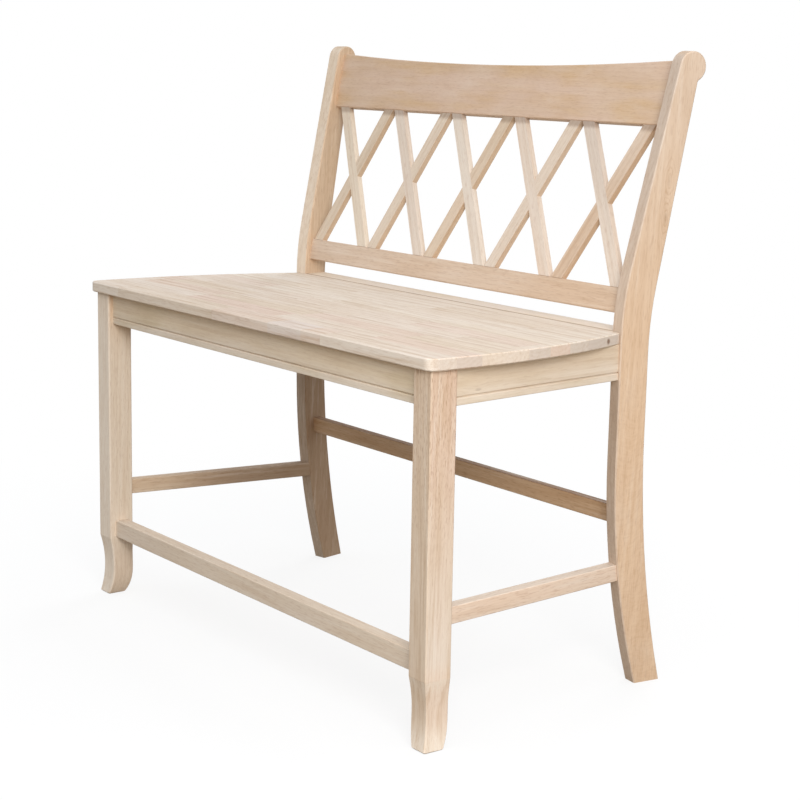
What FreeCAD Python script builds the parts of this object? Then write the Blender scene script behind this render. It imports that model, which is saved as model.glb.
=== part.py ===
"""Counter-height wooden bench with a cross-lattice back, as a parametric document.

The bench is laid out square to its own seat: X runs to the right in a front
view, Y from front to back and Z up, with the front feet near Z = 0 and the
front legs' faces on Y = 0. The whole bench leans back a little, so at the end
every piece is turned by the stance slope and set on the floor.
"""
import FreeCAD
import Part
import Sketcher

import math
import os
import re

# Lengths are in millimetres and angles in degrees.
SIZES = {
    # Stance and seat board
    "seat_height": 610.0,
    "seat_thickness": 19.0,
    "stance_slope": 1.68,
    "seat_front_width": 1096.0,
    "seat_back_width": 960.0,
    "seat_front_overhang": 11.0,
    "seat_side_overhang": 11.0,
    "seat_corner_radius": 18.0,
    "seat_side_straight": 50.0,
    "seat_edge_ease": 1.8,
    "seat_post_clearance": 0.4,
    # Front legs
    "leg_width": 46.0,
    "leg_depth": 48.5,
    "leg_edge_ease": 2.2,
    "ankle_height": 112.0,
    "front_hollow": 7.0,
    "side_hollow": 5.0,
    "heel_height": 45.0,
    "heel_cut": 11.0,
    "foot_drop": 2.0,
    "foot_bevel": 2.5,
    # Rear posts
    "post_front": 418.7,
    "post_outer_half": 486.0,
    "post_width": 28.5,
    "post_depth": 53.5,
    "post_turn": 10.0,
    "post_splay": 0.57,
    "post_edge_ease": 1.8,
    "front_sweep": 57.5,
    "front_sweep_height": 395.0,
    "back_sweep": 53.0,
    "back_sweep_height": 435.0,
    "foot_straight": 25.0,
    "front_bend_height": 658.0,
    "front_bend_radius": 500.0,
    "back_bend_height": 630.0,
    "back_bend_radius": 600.0,
    "back_lean": 13.05,
    "post_rear_lean": 10.45,
    "scroll_height": 1035.5,
    "scroll_radius": 24.5,
    "notch_radius": 5.0,
    # Aprons under the seat
    "apron_height": 59.0,
    "apron_thickness": 20.0,
    "apron_edge_round": 1.5,
    "front_apron_inset": 9.0,
    "side_apron_leg_inset": 8.0,
    "side_apron_post_inset": 6.0,
    "rear_apron_inset": 22.0,
    "bead_height": 13.4,
    "bead_round": 2.4,
    "bead_groove_width": 2.6,
    "bead_groove_depth": 3.2,
    "apron_tenon_thickness": 8.0,
    "apron_tenon_face": 4.0,
    "apron_tenon_height": 28.0,
    "apron_tenon_rise": 6.0,
    "apron_tenon_length": 14.0,
    # Strip that closes the seat between the posts
    "filler_depth": 49.5,
    "filler_gap": 0.6,
    "filler_edge_round": 2.0,
    # Stretchers near the floor
    "front_stretcher_inset": 11.6,
    "front_stretcher_thickness": 24.4,
    "front_stretcher_height": 33.2,
    "front_stretcher_base": 114.2,
    "side_stretcher_leg_inset": 9.0,
    "side_stretcher_post_inset": 3.5,
    "side_stretcher_thickness": 23.0,
    "side_stretcher_height": 28.0,
    "side_stretcher_base": 193.0,
    "rear_stretcher_inset": 28.3,
    "rear_stretcher_thickness": 18.0,
    "rear_stretcher_height": 30.0,
    "rear_stretcher_base": 284.0,
    "stretcher_edge_round": 2.0,
    "stretcher_tenon_thickness": 10.0,
    "stretcher_tenon_face": 4.0,
    "stretcher_tenon_height": 18.0,
    "stretcher_tenon_length": 12.0,
    # Back frame
    "rail_gap": 29.5,
    "rail_setback": 19.0,
    "rail_thickness": 22.0,
    "lower_rail_height": 41.0,
    "lower_rail_edge_round": 2.5,
    "crest_end_height": 107.6,
    "crest_dip": 15.4,
    "crest_straight": 30.0,
    "crest_edge_ease": 1.6,
    "crest_tenon_height": 64.0,
    "crest_tenon_rise": 12.0,
    "lower_rail_tenon_height": 27.0,
    "rail_tenon_thickness": 10.0,
    "rail_tenon_length": 14.0,
    # Lattice of crossed slats
    "lattice_height": 268.6,
    "cross_pitch": 183.0,
    "cross_gap": 3.5,
    "slat_width": 25.0,
    "slat_thickness": 10.5,
    "slat_setback": 0.5,
    "slat_stub_thickness": 5.0,
    "slat_stub_length": 8.0,
    # Corner blocks and their fasteners
    "block_thickness": 22.0,
    "block_height": 36.0,
    "block_corner_gap": 0.8,
    "bolt_rise": 20.0,
    "bolt_radius": 3.0,
    "bolt_bite": 18.0,
    "bolt_head_radius": 5.6,
    "bolt_head_height": 4.0,
    "screw_radius": 2.1,
    "screw_bite": 12.0,
    "screw_head_radius": 4.2,
    "screw_head_height": 2.6,
    "front_screw_shift": 20.0,
    "rear_screw_shift": 3.0,
    # Play left in every socket
    "joint_clearance": 0.2,
    "shoulder_clearance": 0.1,
}

STAVE_COUNT = 9
CROSS_COUNT = 5
FOOT_SECTIONS = 6
TRIM = 400.0

# Places and lengths that follow from the sizes above.
DERIVED = {
    "seat_underside": "seat_height - seat_thickness",
    "seat_depth": "seat_front_overhang + seat_back_line",
    "seat_back_line": "post_front + post_width * sin(post_turn) - seat_post_clearance",
    "seat_side_start": "seat_corner_radius + seat_side_straight - seat_front_overhang",
    "seat_side_drop": "(seat_front_width - seat_back_width) / 2",
    "seat_corner_back": "post_front + (post_outer_half - seat_back_width / 2) * tan(post_turn)"
                        " - seat_post_clearance",
    "seat_side_run": "seat_corner_back - seat_side_start",
    "seat_side_radius": "(seat_side_run^2 + seat_side_drop^2) / (2 * seat_side_drop)",
    "seat_notch_half": "post_outer_half - post_width * cos(post_turn)",
    "leg_outer_half": "seat_front_width / 2 - seat_side_overhang",
    "leg_inner_half": "leg_outer_half - leg_width",
    "front_hollow_radius": "(ankle_height^2 / 4 + front_hollow^2) / (2 * front_hollow)",
    "side_hollow_radius": "(ankle_height^2 / 4 + side_hollow^2) / (2 * side_hollow)",
    "heel_radius": "(heel_height^2 + heel_cut^2) / (2 * heel_cut)",
    "foot_base": "foot_bevel - foot_drop",
    "post_lean": "atan(tan(back_lean) / cos(post_turn))",
    "front_sweep_turn": "2 * atan(front_sweep / (front_sweep_height + foot_straight))",
    "front_sweep_radius": "(front_sweep_height - foot_straight) / sin(front_sweep_turn)",
    "front_sweep_reach": "front_sweep_radius * (1 - cos(front_sweep_turn))",
    "back_sweep_turn": "2 * atan(back_sweep / (back_sweep_height + foot_straight))",
    "back_sweep_radius": "(back_sweep_height - foot_straight) / sin(back_sweep_turn)",
    "back_sweep_reach": "back_sweep_radius * (1 - cos(back_sweep_turn))",
    "front_bend_start": "front_bend_height - front_bend_radius * tan(post_lean / 2)",
    "back_bend_start": "back_bend_height - back_bend_radius * tan(post_rear_lean / 2)",
    "scroll_depth": "(scroll_height - front_bend_height) * tan(post_lean) + scroll_radius / cos(post_lean)",
    "scroll_along": "(scroll_depth - post_depth) * sin(post_rear_lean)"
                    " + (scroll_height - back_bend_height) * cos(post_rear_lean)",
    "scroll_across": "(scroll_depth - post_depth) * cos(post_rear_lean)"
                     " - (scroll_height - back_bend_height) * sin(post_rear_lean)",
    "notch_along": "scroll_along - sqrt((scroll_radius + notch_radius)^2 - (notch_radius - scroll_across)^2)",
    "notch_depth": "post_depth + notch_along * sin(post_rear_lean) + notch_radius * cos(post_rear_lean)",
    "notch_height": "back_bend_height + notch_along * cos(post_rear_lean)"
                    " - notch_radius * sin(post_rear_lean)",
    "notch_share": "scroll_radius / (scroll_radius + notch_radius)",
    "apron_base": "seat_underside - apron_height",
    "apron_tenon_base": "apron_base + apron_tenon_rise",
    "rear_apron_front": "post_front + post_width * sin(post_turn) + rear_apron_inset",
    "rear_stretcher_front": "post_front + rear_stretcher_inset",
    "side_apron_leg_x": "leg_outer_half - side_apron_leg_inset",
    "side_apron_post_x": "post_outer_half - side_apron_post_inset * cos(post_turn)",
    "side_apron_post_y": "post_front + side_apron_post_inset * sin(post_turn)",
    "stretcher_middle": "side_stretcher_base + side_stretcher_height / 2",
    "stretcher_sweep": "front_sweep_radius"
                       " - sqrt(front_sweep_radius^2 - (front_sweep_height - stretcher_middle)^2)",
    "stretcher_splay": "(stretcher_middle - seat_height) * sin(post_splay)",
    "side_stretcher_leg_x": "leg_outer_half - side_stretcher_leg_inset",
    "stretcher_inward": "stretcher_splay - side_stretcher_post_inset",
    "side_stretcher_post_x": "post_outer_half + stretcher_inward * cos(post_turn)"
                             " + stretcher_sweep * sin(post_turn)",
    "side_stretcher_post_y": "post_front - stretcher_inward * sin(post_turn)"
                             " + stretcher_sweep * cos(post_turn)",
    "rail_base": "seat_height + rail_gap",
    "rail_front": "post_front + rail_setback + (rail_base - front_bend_height) * tan(back_lean)",
    "crest_base": "lower_rail_height + lattice_height",
    "crest_half": "post_outer_half",
    "crest_hollow_half": "crest_half - crest_straight",
    "crest_turn": "2 * atan(crest_dip / (crest_half + crest_straight))",
    "crest_radius": "crest_hollow_half / sin(crest_turn)",
    "lattice_middle": "lower_rail_height + lattice_height / 2",
    "cross_width": "cross_pitch - cross_gap",
    "slat_angle": "acos(slat_width / sqrt(cross_width^2 + lattice_height^2))"
                  " - atan(lattice_height / cross_width)",
    "slat_reach": "2 * (lattice_height + cross_width)",
    "stub_face": "slat_setback + (slat_thickness - slat_stub_thickness) / 2",
    "block_base": "seat_underside - block_height",
}


def formula(text):
    """Spell a formula of size names as an expression on the sheet's cells."""
    def spell(match):
        word = match.group()
        if word in DERIVED:
            return "(" + formula(DERIVED[word]) + ")"
        return "Sizes." + word if word in SIZES else word
    return re.sub(r"[a-z][a-z_]*", spell, text)


def value(text):
    """Return what a formula comes to at the sheet's present sizes."""
    result = sheet.evalExpression(formula(text))
    return float(getattr(result, "Value", result))


def placed(x="0", y="0", z="0", axis="0; 0; 1", angle="0"):
    """Return the formula of a placement: a shift and a turn about one axis."""
    return f"placement(vector({x}; {y}; {z}); rotation(vector({axis}); {angle}))"


def bind(piece, **formulas):
    """Bind properties of a document object to formulas."""
    for name, text in formulas.items():
        piece.setExpression(name, formula(text))
    return piece


def post_inner_half(y, z):
    """Return the formula of a post's inner face: its X at a given Y and Z."""
    return (f"(post_outer_half + (({y}) - post_front) * tan(post_turn)"
            f" + (({z}) - seat_height) * tan(post_splay) / cos(post_turn)"
            f" - post_width / (cos(post_splay) * cos(post_turn)))")


# Frames of the leaning back and of the turned right-hand post
BACK = placed(y="rail_front", z="rail_base", axis="1; 0; 0", angle="-back_lean")
POST = (placed("post_outer_half", "post_front", "seat_height", angle="-post_turn")
        + " * " + placed(axis="0; 1; 0", angle="post_splay"))


def box(name, length, width, height, placement):
    """Make a bound box; the placement sets its low corner."""
    piece = doc.addObject("Part::Box", name)
    return bind(piece, Length=length, Width=width, Height=height, Placement=placement)


def cylinder(name, radius, height, placement):
    """Make a bound cylinder that rises from its placement."""
    piece = doc.addObject("Part::Cylinder", name)
    return bind(piece, Radius=radius, Height=height, Placement=placement)


def fuse(name, *pieces):
    """Join pieces into one."""
    result = doc.addObject("Part::MultiFuse", name)
    result.Shapes = list(pieces)
    result.Refine = True
    return result


def common(name, *pieces):
    """Keep what the pieces share."""
    result = doc.addObject("Part::MultiCommon", name)
    result.Shapes = list(pieces)
    return result


def cut(name, base, *tools):
    """Take the tools away from a base."""
    result = doc.addObject("Part::Cut", name)
    result.Base = base
    result.Tool = tools[0] if len(tools) == 1 else fuse(name + "_tools", *tools)
    return result


def mirrored(name, source):
    """Make the left-hand copy of a right-hand piece."""
    result = doc.addObject("Part::Mirroring", name)
    result.Source = source
    result.Normal = (1, 0, 0)
    return result


def sketch_on(body, name, role):
    """Add a sketch on one of the body's own origin planes."""
    sketch = body.newObject("Sketcher::SketchObject", name)
    plane = next(item for item in body.Origin.OriginFeatures if item.Role == role)
    sketch.AttachmentSupport = [(plane, "")]
    sketch.MapMode = "FlatFace"
    return sketch


def arc_between(start, end, radius, left, long_way):
    """Return the arc of a radius from start to end, turning left or right."""
    chord = end - start
    rise = math.sqrt(max(radius ** 2 - chord.Length ** 2 / 4, 0.0))
    normal = FreeCAD.Vector(-chord.y, chord.x, 0).normalize()
    side = 1 if left != long_way else -1
    centre = (start + end) * 0.5 + normal * rise * side
    first, last = (start, end) if left else (end, start)
    low = math.atan2(first.y - centre.y, first.x - centre.x)
    high = math.atan2(last.y - centre.y, last.x - centre.x)
    if high < low:
        high += 2 * math.pi
    return Part.ArcOfCircle(Part.Circle(centre, FreeCAD.Vector(0, 0, 1), radius), low, high)


def draw(sketch, corners):
    """Draw a closed outline and bind every corner and radius.

    A corner is (across, up) where a straight edge leads to it, or
    (across, up, radius, turn) where an arc does; turn is "left", "right" or
    "long left" or "long right" for an arc of more than half a circle.
    """
    points = [FreeCAD.Vector(value(corner[0]), value(corner[1]), 0) for corner in corners]
    count = len(corners)
    ends = []
    rules = []
    for index, corner in enumerate(corners):
        start, end = points[index - 1], points[index]
        if len(corner) == 2:
            edge = sketch.addGeometry(Part.LineSegment(start, end), False)
            ends.append((edge, 1, 2))
            continue
        left = corner[3].endswith("left")
        arc = arc_between(start, end, value(corner[2]), left, corner[3].startswith("long"))
        edge = sketch.addGeometry(arc, False)
        ends.append((edge, 1, 2) if left else (edge, 2, 1))
        rules.append((Sketcher.Constraint("Radius", edge, value(corner[2])), corner[2]))
    for index, corner in enumerate(corners):
        edge, _, tail = ends[index]
        after, head, _ = ends[(index + 1) % count]
        sketch.addConstraint(Sketcher.Constraint("Coincident", edge, tail, after, head))
        across = Sketcher.Constraint("DistanceX", -1, 1, edge, tail, points[index].x)
        rise = Sketcher.Constraint("DistanceY", -1, 1, edge, tail, points[index].y)
        rules.append((across, corner[0]))
        rules.append((rise, corner[1]))
    for constraint, text in rules:
        number = sketch.addConstraint(constraint)
        sketch.renameConstraint(number, f"size_{number}")
        sketch.setExpression(f"Constraints.size_{number}", formula(text))
    return sketch


def rounded(left, right, low, high, radius):
    """Return the outline of a rectangle with rounded corners."""
    return [
        (f"{right} - {radius}", low),
        (right, f"{low} + {radius}", radius, "left"),
        (right, f"{high} - {radius}"),
        (f"{right} - {radius}", high, radius, "left"),
        (f"{left} + {radius}", high),
        (left, f"{high} - {radius}", radius, "left"),
        (left, f"{low} + {radius}"),
        (f"{left} + {radius}", low, radius, "left"),
    ]


def eased(left, right, low, high, size):
    """Return the outline of a rectangle whose corners are planed off."""
    return [
        (f"{right} - {size}", low),
        (right, f"{low} + {size}"),
        (right, f"{high} - {size}"),
        (f"{right} - {size}", high),
        (f"{left} + {size}", high),
        (left, f"{high} - {size}"),
        (left, f"{low} + {size}"),
        (f"{left} + {size}", low),
    ]


def beaded(face, back, low, high):
    """Return an apron's section: a groove parts a round-topped bead off its face near the low edge.

    The face lies at the smaller coordinate and looks outward.
    """
    outline = rounded(face, back, low, high, "apron_edge_round")
    upper = f"{low} + bead_height + bead_groove_width / 2"
    lower = f"{low} + bead_height - bead_groove_width / 2"
    groove = [
        (face, upper),
        (f"{face} + bead_groove_depth", upper),
        (f"{face} + bead_groove_depth", lower),
        (f"{face} + bead_round", lower),
        (face, f"{lower} - bead_round", "bead_round", "left"),
    ]
    return outline[:6] + groove + outline[6:]


def flipped(outline):
    """Return the mirror image of an outline, across the upright axis."""
    other = {"left": "right", "right": "left"}
    result = []
    for across, rise, *arc in outline:
        turned = (arc[0], other[arc[1]]) if arc else ()
        result.append((f"-({across})", rise) + turned)
    return result


def bar(name, role, outline, length, placement=None, middle=False, backward=False):
    """Make a straight bar: an outline padded along the normal of its plane."""
    body = doc.addObject("PartDesign::Body", name)
    pad = body.newObject("PartDesign::Pad", name + "_pad")
    sketch = draw(sketch_on(body, name + "_outline", role), outline)
    pad.Profile = sketch
    pad.Midplane = middle
    pad.Reversed = backward
    bind(pad, Length=length)
    body.Tip = pad
    if placement:
        bind(body, Placement=placement)
    return body


def ease(body, name, size, wanted):
    """Plane off the edges of a body's last feature that the test picks."""
    doc.recompute()
    base = body.Tip
    names = [f"Edge{number}" for number, edge in enumerate(base.Shape.Edges, 1) if wanted(edge)]
    chamfer = body.newObject("PartDesign::Chamfer", name)
    chamfer.Base = (base, names)
    bind(chamfer, Size=size)
    body.Tip = chamfer
    return body


def edge_middle(edge):
    """Return the point halfway along an edge."""
    return edge.valueAt((edge.FirstParameter + edge.LastParameter) / 2)


def behind_post(name, shift="0", lift="0", tilt="0"):
    """Make a block that fills the space behind a post's front face."""
    corner = placed(y=shift, z=lift, axis="1; 0; 0", angle=tilt)
    start = placed(f"-{TRIM} / 2", "0", f"-{TRIM} / 2")
    return box(name, f"{TRIM}", f"{TRIM}", f"{TRIM}", f"{POST} * {corner} * {start}")


def beyond_posts(name, clearance="0"):
    """Make blocks outside both posts' inner faces, which end the cross rails."""
    start = placed(f"{clearance} - post_width", f"-{TRIM}", "-seat_height")
    right = box(name + "_right", f"{TRIM}", f"3 * {TRIM}", "2 * seat_height", f"{POST} * {start}")
    return right, mirrored(name + "_left", right)


def floor_block():
    """Make the block under the floor, which levels the feet."""
    turn = placed(z="-foot_drop", axis="1; 0; 0", angle="stance_slope")
    start = placed(f"-2 * {TRIM}", f"-{TRIM}", f"-{TRIM}")
    return box("under_floor", f"4 * {TRIM}", f"4 * {TRIM}", f"{TRIM}", f"{turn} * {start}")


def ankle_inset(face, level):
    """Return the formula of how far a leg's front or side face is hollowed at a level."""
    radius = f"{face}_hollow_radius"
    return f"(sqrt({radius}^2 - ({level} - ankle_height / 2)^2) - {radius} + {face}_hollow)"


def heel_inset(level):
    """Return the formula of how far a leg's back and inner faces are cut in at a level."""
    return (f"({level} < heel_height ?"
            f" heel_radius - sqrt(heel_radius^2 - (heel_height - {level})^2) : 0)")


def foot_section(body, name, level, shape_level, inset="0"):
    """Draw a leg's section: its place, the level whose shape it takes and how far it is set in."""
    heel = heel_inset(shape_level)
    section = sketch_on(body, name, "XY_Plane")
    section.setExpression("AttachmentOffset.Base.z", formula(level))
    return draw(section, eased(f"leg_inner_half + {heel} + {inset}",
                               f"leg_outer_half - {ankle_inset('side', shape_level)} - {inset}",
                               f"{ankle_inset('front', shape_level)} + {inset}",
                               f"leg_depth - {heel} - {inset}", "leg_edge_ease"))


def leg_blank():
    """Make the right front leg: a straight post on a hollowed, flared foot with a bevelled sole."""
    body = doc.addObject("PartDesign::Body", "leg_blank")
    sections = []
    for number in range(FOOT_SECTIONS):
        level = f"(foot_base + (ankle_height - foot_base) * {number} / {FOOT_SECTIONS - 1})"
        sections.append(foot_section(body, f"foot_section_{number + 1}", level, level))
    sole = foot_section(body, "foot_sole", "-foot_drop", "foot_base", "foot_bevel")
    shaft = body.newObject("PartDesign::Pad", "leg_shaft")
    shaft.Profile = sections[-1]
    bind(shaft, Length="seat_underside - ankle_height")
    foot = body.newObject("PartDesign::AdditiveLoft", "leg_foot")
    foot.Profile = sections[0]
    foot.Sections = sections[1:]
    bevel = body.newObject("PartDesign::AdditiveLoft", "leg_sole")
    bevel.Profile = sole
    bevel.Sections = sections[:1]
    bevel.Ruled = True
    body.Tip = bevel
    return body


def post_blank():
    """Make the right rear post: swept foot, leaning back and scrolled top, in one board."""
    lean = "post_lean"
    rear = "post_rear_lean"
    outline = [
        ("post_depth + back_sweep_reach", "foot_straight", "back_sweep_radius", "left"),
        ("post_depth + back_sweep_reach + foot_straight * tan(back_sweep_turn)", "0"),
        ("front_sweep_reach + foot_straight * tan(front_sweep_turn)", "0"),
        ("front_sweep_reach", "foot_straight"),
        ("0", "front_sweep_height", "front_sweep_radius", "right"),
        ("0", "front_bend_start"),
        (f"front_bend_radius * (1 - cos({lean}))",
         f"front_bend_start + front_bend_radius * sin({lean})", "front_bend_radius", "right"),
        (f"scroll_depth - scroll_radius * cos({lean})", f"scroll_height + scroll_radius * sin({lean})"),
        ("scroll_depth + (notch_depth - scroll_depth) * notch_share",
         "scroll_height + (notch_height - scroll_height) * notch_share", "scroll_radius", "long right"),
        (f"post_depth + notch_along * sin({rear})", f"back_bend_height + notch_along * cos({rear})",
         "notch_radius", "left"),
        (f"post_depth + back_bend_radius * (1 - cos({rear}))",
         f"back_bend_start + back_bend_radius * sin({rear})"),
        ("post_depth", "back_bend_start", "back_bend_radius", "left"),
        ("post_depth", "back_sweep_height"),
    ]
    body = bar("post_blank", "YZ_Plane", outline, "post_width",
               f"{POST} * " + placed(z="-seat_height"), backward=True)
    width = value("post_width")

    def on_side(edge):
        across = [vertex.X for vertex in edge.Vertexes] + [edge_middle(edge).x]
        flat = all(abs(x) < 0.01 for x in across) or all(abs(x + width) < 0.01 for x in across)
        return flat and edge_middle(edge).z > 0.01

    return ease(body, "post_easing", "post_edge_ease", on_side)


def side_frame(kind):
    """Return the frame of a side piece: it starts at the leg and runs to the post."""
    return placed(f"{kind}_leg_x", "leg_depth", "0",
                  angle=f"atan(({kind}_leg_x - {kind}_post_x) / ({kind}_post_y - leg_depth))")


def side_run(kind):
    """Return the formula of a side piece's length between leg and post."""
    return (f"sqrt(({kind}_leg_x - {kind}_post_x)^2"
            f" + ({kind}_post_y - leg_depth)^2)")


def side_piece(kind, outline, thickness, tenon, tenon_base, post_block):
    """Make a right-hand side piece with a tenon at each end, and its socket.

    Returns the piece and the tool that cuts its mortises.
    """
    frame = side_frame(kind)
    run = side_run(kind)
    stock = bar(f"{kind}_stock", "XZ_Plane", outline, f"{run} + 2 * {thickness}",
                f"{frame} * " + placed(y=f"-{thickness}"), backward=True)
    leg_block = box(f"{kind}_leg_block", f"{TRIM}", f"{TRIM}", "seat_height",
                    placed(f"leg_outer_half - {TRIM} / 2", f"leg_depth - {TRIM}"))
    shouldered = cut(f"{kind}_shouldered", stock, leg_block, post_block)
    length = f"{run} + 2 * {tenon}_tenon_length"
    tongue = box(f"{kind}_tenon", f"{tenon}_tenon_thickness", length, f"{tenon}_tenon_height",
                 f"{frame} * " + placed(f"-{tenon}_tenon_face - {tenon}_tenon_thickness",
                                        f"-{tenon}_tenon_length", tenon_base))
    socket = box(f"{kind}_socket", f"{tenon}_tenon_thickness + 2 * joint_clearance",
                 f"{length} + 2 * joint_clearance", f"{tenon}_tenon_height + 2 * joint_clearance",
                 f"{frame} * " + placed(
                     f"-{tenon}_tenon_face - {tenon}_tenon_thickness - joint_clearance",
                     f"-{tenon}_tenon_length - joint_clearance", f"{tenon_base} - joint_clearance"))
    return fuse(f"{kind}_right", shouldered, tongue), socket


def cross_tenon(name, half, face, thickness, low, height, length, frame=None):
    """Make the through bar that gives a cross piece its tenons, and its socket."""
    start = (f"{frame} * " if frame else "")
    tongue = box(f"{name}_tenon", f"2 * ({half} + {length})", thickness, height,
                 start + placed(f"-({half} + {length})", face, low))
    socket = box(f"{name}_socket", f"2 * ({half} + {length} + joint_clearance)",
                 f"{thickness} + 2 * joint_clearance", f"{height} + 2 * joint_clearance",
                 start + placed(f"-({half} + {length} + joint_clearance)",
                                f"{face} - joint_clearance", f"{low} - joint_clearance"))
    return tongue, socket


def front_apron():
    """Make the front apron, tenoned between the front legs."""
    stock = bar("front_apron_stock", "YZ_Plane",
                beaded("front_apron_inset", "front_apron_inset + apron_thickness",
                       "apron_base", "seat_underside"),
                "2 * leg_inner_half", middle=True)
    tongue, socket = cross_tenon("front_apron", "leg_inner_half", "front_apron_inset + apron_tenon_face",
                                 "apron_tenon_thickness", "apron_tenon_base", "apron_tenon_height",
                                 "apron_tenon_length")
    return fuse("front_apron", stock, tongue), socket


def rear_apron(ends):
    """Make the rear apron, tenoned between the rear posts."""
    middle = "rear_apron_front + apron_thickness / 2"
    stock = bar("rear_apron_stock", "YZ_Plane",
                rounded("rear_apron_front", "rear_apron_front + apron_thickness",
                        "apron_base", "seat_underside", "apron_edge_round"),
                "2 * post_outer_half", middle=True)
    tongue, socket = cross_tenon("rear_apron", post_inner_half(middle, "apron_base"),
                                 "rear_apron_front + (apron_thickness - apron_tenon_thickness) / 2",
                                 "apron_tenon_thickness", "apron_tenon_base", "apron_tenon_height",
                                 "apron_tenon_length")
    return fuse("rear_apron", cut("rear_apron_shouldered", stock, *ends), tongue), socket


def front_stretcher():
    """Make the front stretcher, tenoned between the front legs."""
    low = "front_stretcher_base"
    stock = bar("front_stretcher_stock", "YZ_Plane",
                rounded("front_stretcher_inset", "front_stretcher_inset + front_stretcher_thickness",
                        low, f"{low} + front_stretcher_height", "stretcher_edge_round"),
                "2 * leg_inner_half", middle=True)
    face = "front_stretcher_inset + (front_stretcher_thickness - stretcher_tenon_thickness) / 2"
    tongue, socket = cross_tenon("front_stretcher", "leg_inner_half", face, "stretcher_tenon_thickness",
                                 f"{low} + (front_stretcher_height - stretcher_tenon_height) / 2",
                                 "stretcher_tenon_height", "stretcher_tenon_length")
    return fuse("front_stretcher", stock, tongue), socket


def rear_stretcher(ends):
    """Make the rear stretcher, tenoned between the rear posts."""
    low = "rear_stretcher_base"
    middle = "rear_stretcher_front + rear_stretcher_thickness / 2"
    stock = bar("rear_stretcher_stock", "YZ_Plane",
                rounded("rear_stretcher_front", "rear_stretcher_front + rear_stretcher_thickness",
                        low, f"{low} + rear_stretcher_height", "stretcher_edge_round"),
                "2 * post_outer_half", middle=True)
    face = "rear_stretcher_front + (rear_stretcher_thickness - stretcher_tenon_thickness) / 2"
    tongue, socket = cross_tenon("rear_stretcher", post_inner_half(middle, low), face,
                                 "stretcher_tenon_thickness",
                                 f"{low} + (rear_stretcher_height - stretcher_tenon_height) / 2",
                                 "stretcher_tenon_height", "stretcher_tenon_length")
    return fuse("rear_stretcher", cut("rear_stretcher_shouldered", stock, *ends), tongue), socket


def slat_box(name, number, angle, width, face, thickness):
    """Make an overlong slat through the middle of one cross."""
    centre = f"cross_pitch * {number - (CROSS_COUNT - 1) / 2}"
    turn = placed(centre, "0", "lattice_middle", axis="0; 1; 0", angle=angle)
    return box(name, width, thickness, "slat_reach",
               f"{BACK} * {turn} * " + placed(f"-({width}) / 2", face, "-slat_reach / 2"))


def cross_cell(name, number, play):
    """Make the window that one cross fills, with the stubs' reach above and below."""
    centre = f"cross_pitch * {number - (CROSS_COUNT - 1) / 2}"
    return box(name, f"cross_width + 2 * {play}", "rail_thickness",
               f"lattice_height + 2 * (slat_stub_length + {play})",
               f"{BACK} * " + placed(f"{centre} - cross_width / 2 - {play}", "0",
                                     f"lower_rail_height - slat_stub_length - {play}"))


def slat_pair(number):
    """Make the two half-lapped slats of one cross and the sockets for their stubs."""
    centre = f"cross_pitch * {number - (CROSS_COUNT - 1) / 2}"
    window = box(f"cross_{number + 1}_window", "cross_width", "rail_thickness", "lattice_height",
                 f"{BACK} * " + placed(f"{centre} - cross_width / 2", "0", "lower_rail_height"))
    reach = cross_cell(f"cross_{number + 1}_reach", number, "0")
    play = cross_cell(f"cross_{number + 1}_play", number, "joint_clearance")
    lap_width = "slat_width + 2 * shoulder_clearance"
    slats = []
    sockets = []
    for label, angle, other in (("falling", "-slat_angle", "slat_angle"),
                                ("rising", "slat_angle", "-slat_angle")):
        name = f"back_slat_{number + 1}_{label}"
        face = "slat_setback" if label == "rising" else "slat_setback + slat_thickness / 2"
        stock = slat_box(f"{name}_stock", number, angle, "slat_width", "slat_setback", "slat_thickness")
        core = slat_box(f"{name}_core", number, angle, "slat_width", "stub_face", "slat_stub_thickness")
        stubbed = fuse(f"{name}_stubbed", common(f"{name}_blade", window, stock),
                       common(f"{name}_stub", reach, core))
        lap = slat_box(f"{name}_lap", number, other, lap_width, face, "slat_thickness / 2")
        slats.append(cut(name, stubbed, lap))
        sockets.append(common(f"{name}_socket", play, slat_box(
            f"{name}_socket_core", number, angle, "slat_width + 2 * joint_clearance",
            "stub_face - joint_clearance", "slat_stub_thickness + 2 * joint_clearance")))
    return slats, sockets


def crest_rail(ends, sockets):
    """Make the crest rail: straight below, hollowed along its top edge."""
    top = "crest_base + crest_end_height"
    rim = f"{top} - crest_straight * tan(crest_turn)"
    outline = [
        ("-crest_half", "crest_base"),
        ("crest_half", "crest_base"),
        ("crest_half", top),
        ("crest_hollow_half", rim),
        ("-crest_hollow_half", rim, "crest_radius", "right"),
        ("-crest_half", top),
    ]
    stock = bar("crest_stock", "XZ_Plane", outline, "rail_thickness", BACK, backward=True)
    thickness = value("rail_thickness")

    def along_rail(edge):
        middle = edge_middle(edge)
        on_face = min(abs(middle.y), abs(middle.y - thickness)) < 0.01
        return on_face and abs(edge.Vertexes[0].X - edge.Vertexes[-1].X) > 0.01

    ease(stock, "crest_easing", "crest_edge_ease", along_rail)
    low = "crest_base + crest_tenon_rise"
    return back_rail("crest_rail", stock, ends, sockets, low, "crest_tenon_height")


def lower_back_rail(ends, sockets):
    """Make the lower rail of the back."""
    outline = rounded("0", "rail_thickness", "0", "lower_rail_height", "lower_rail_edge_round")
    stock = bar("lower_rail_stock", "YZ_Plane", outline, "2 * crest_half", BACK, middle=True)
    low = "(lower_rail_height - lower_rail_tenon_height) / 2"
    return back_rail("lower_back_rail", stock, ends, sockets, low, "lower_rail_tenon_height")


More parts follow.
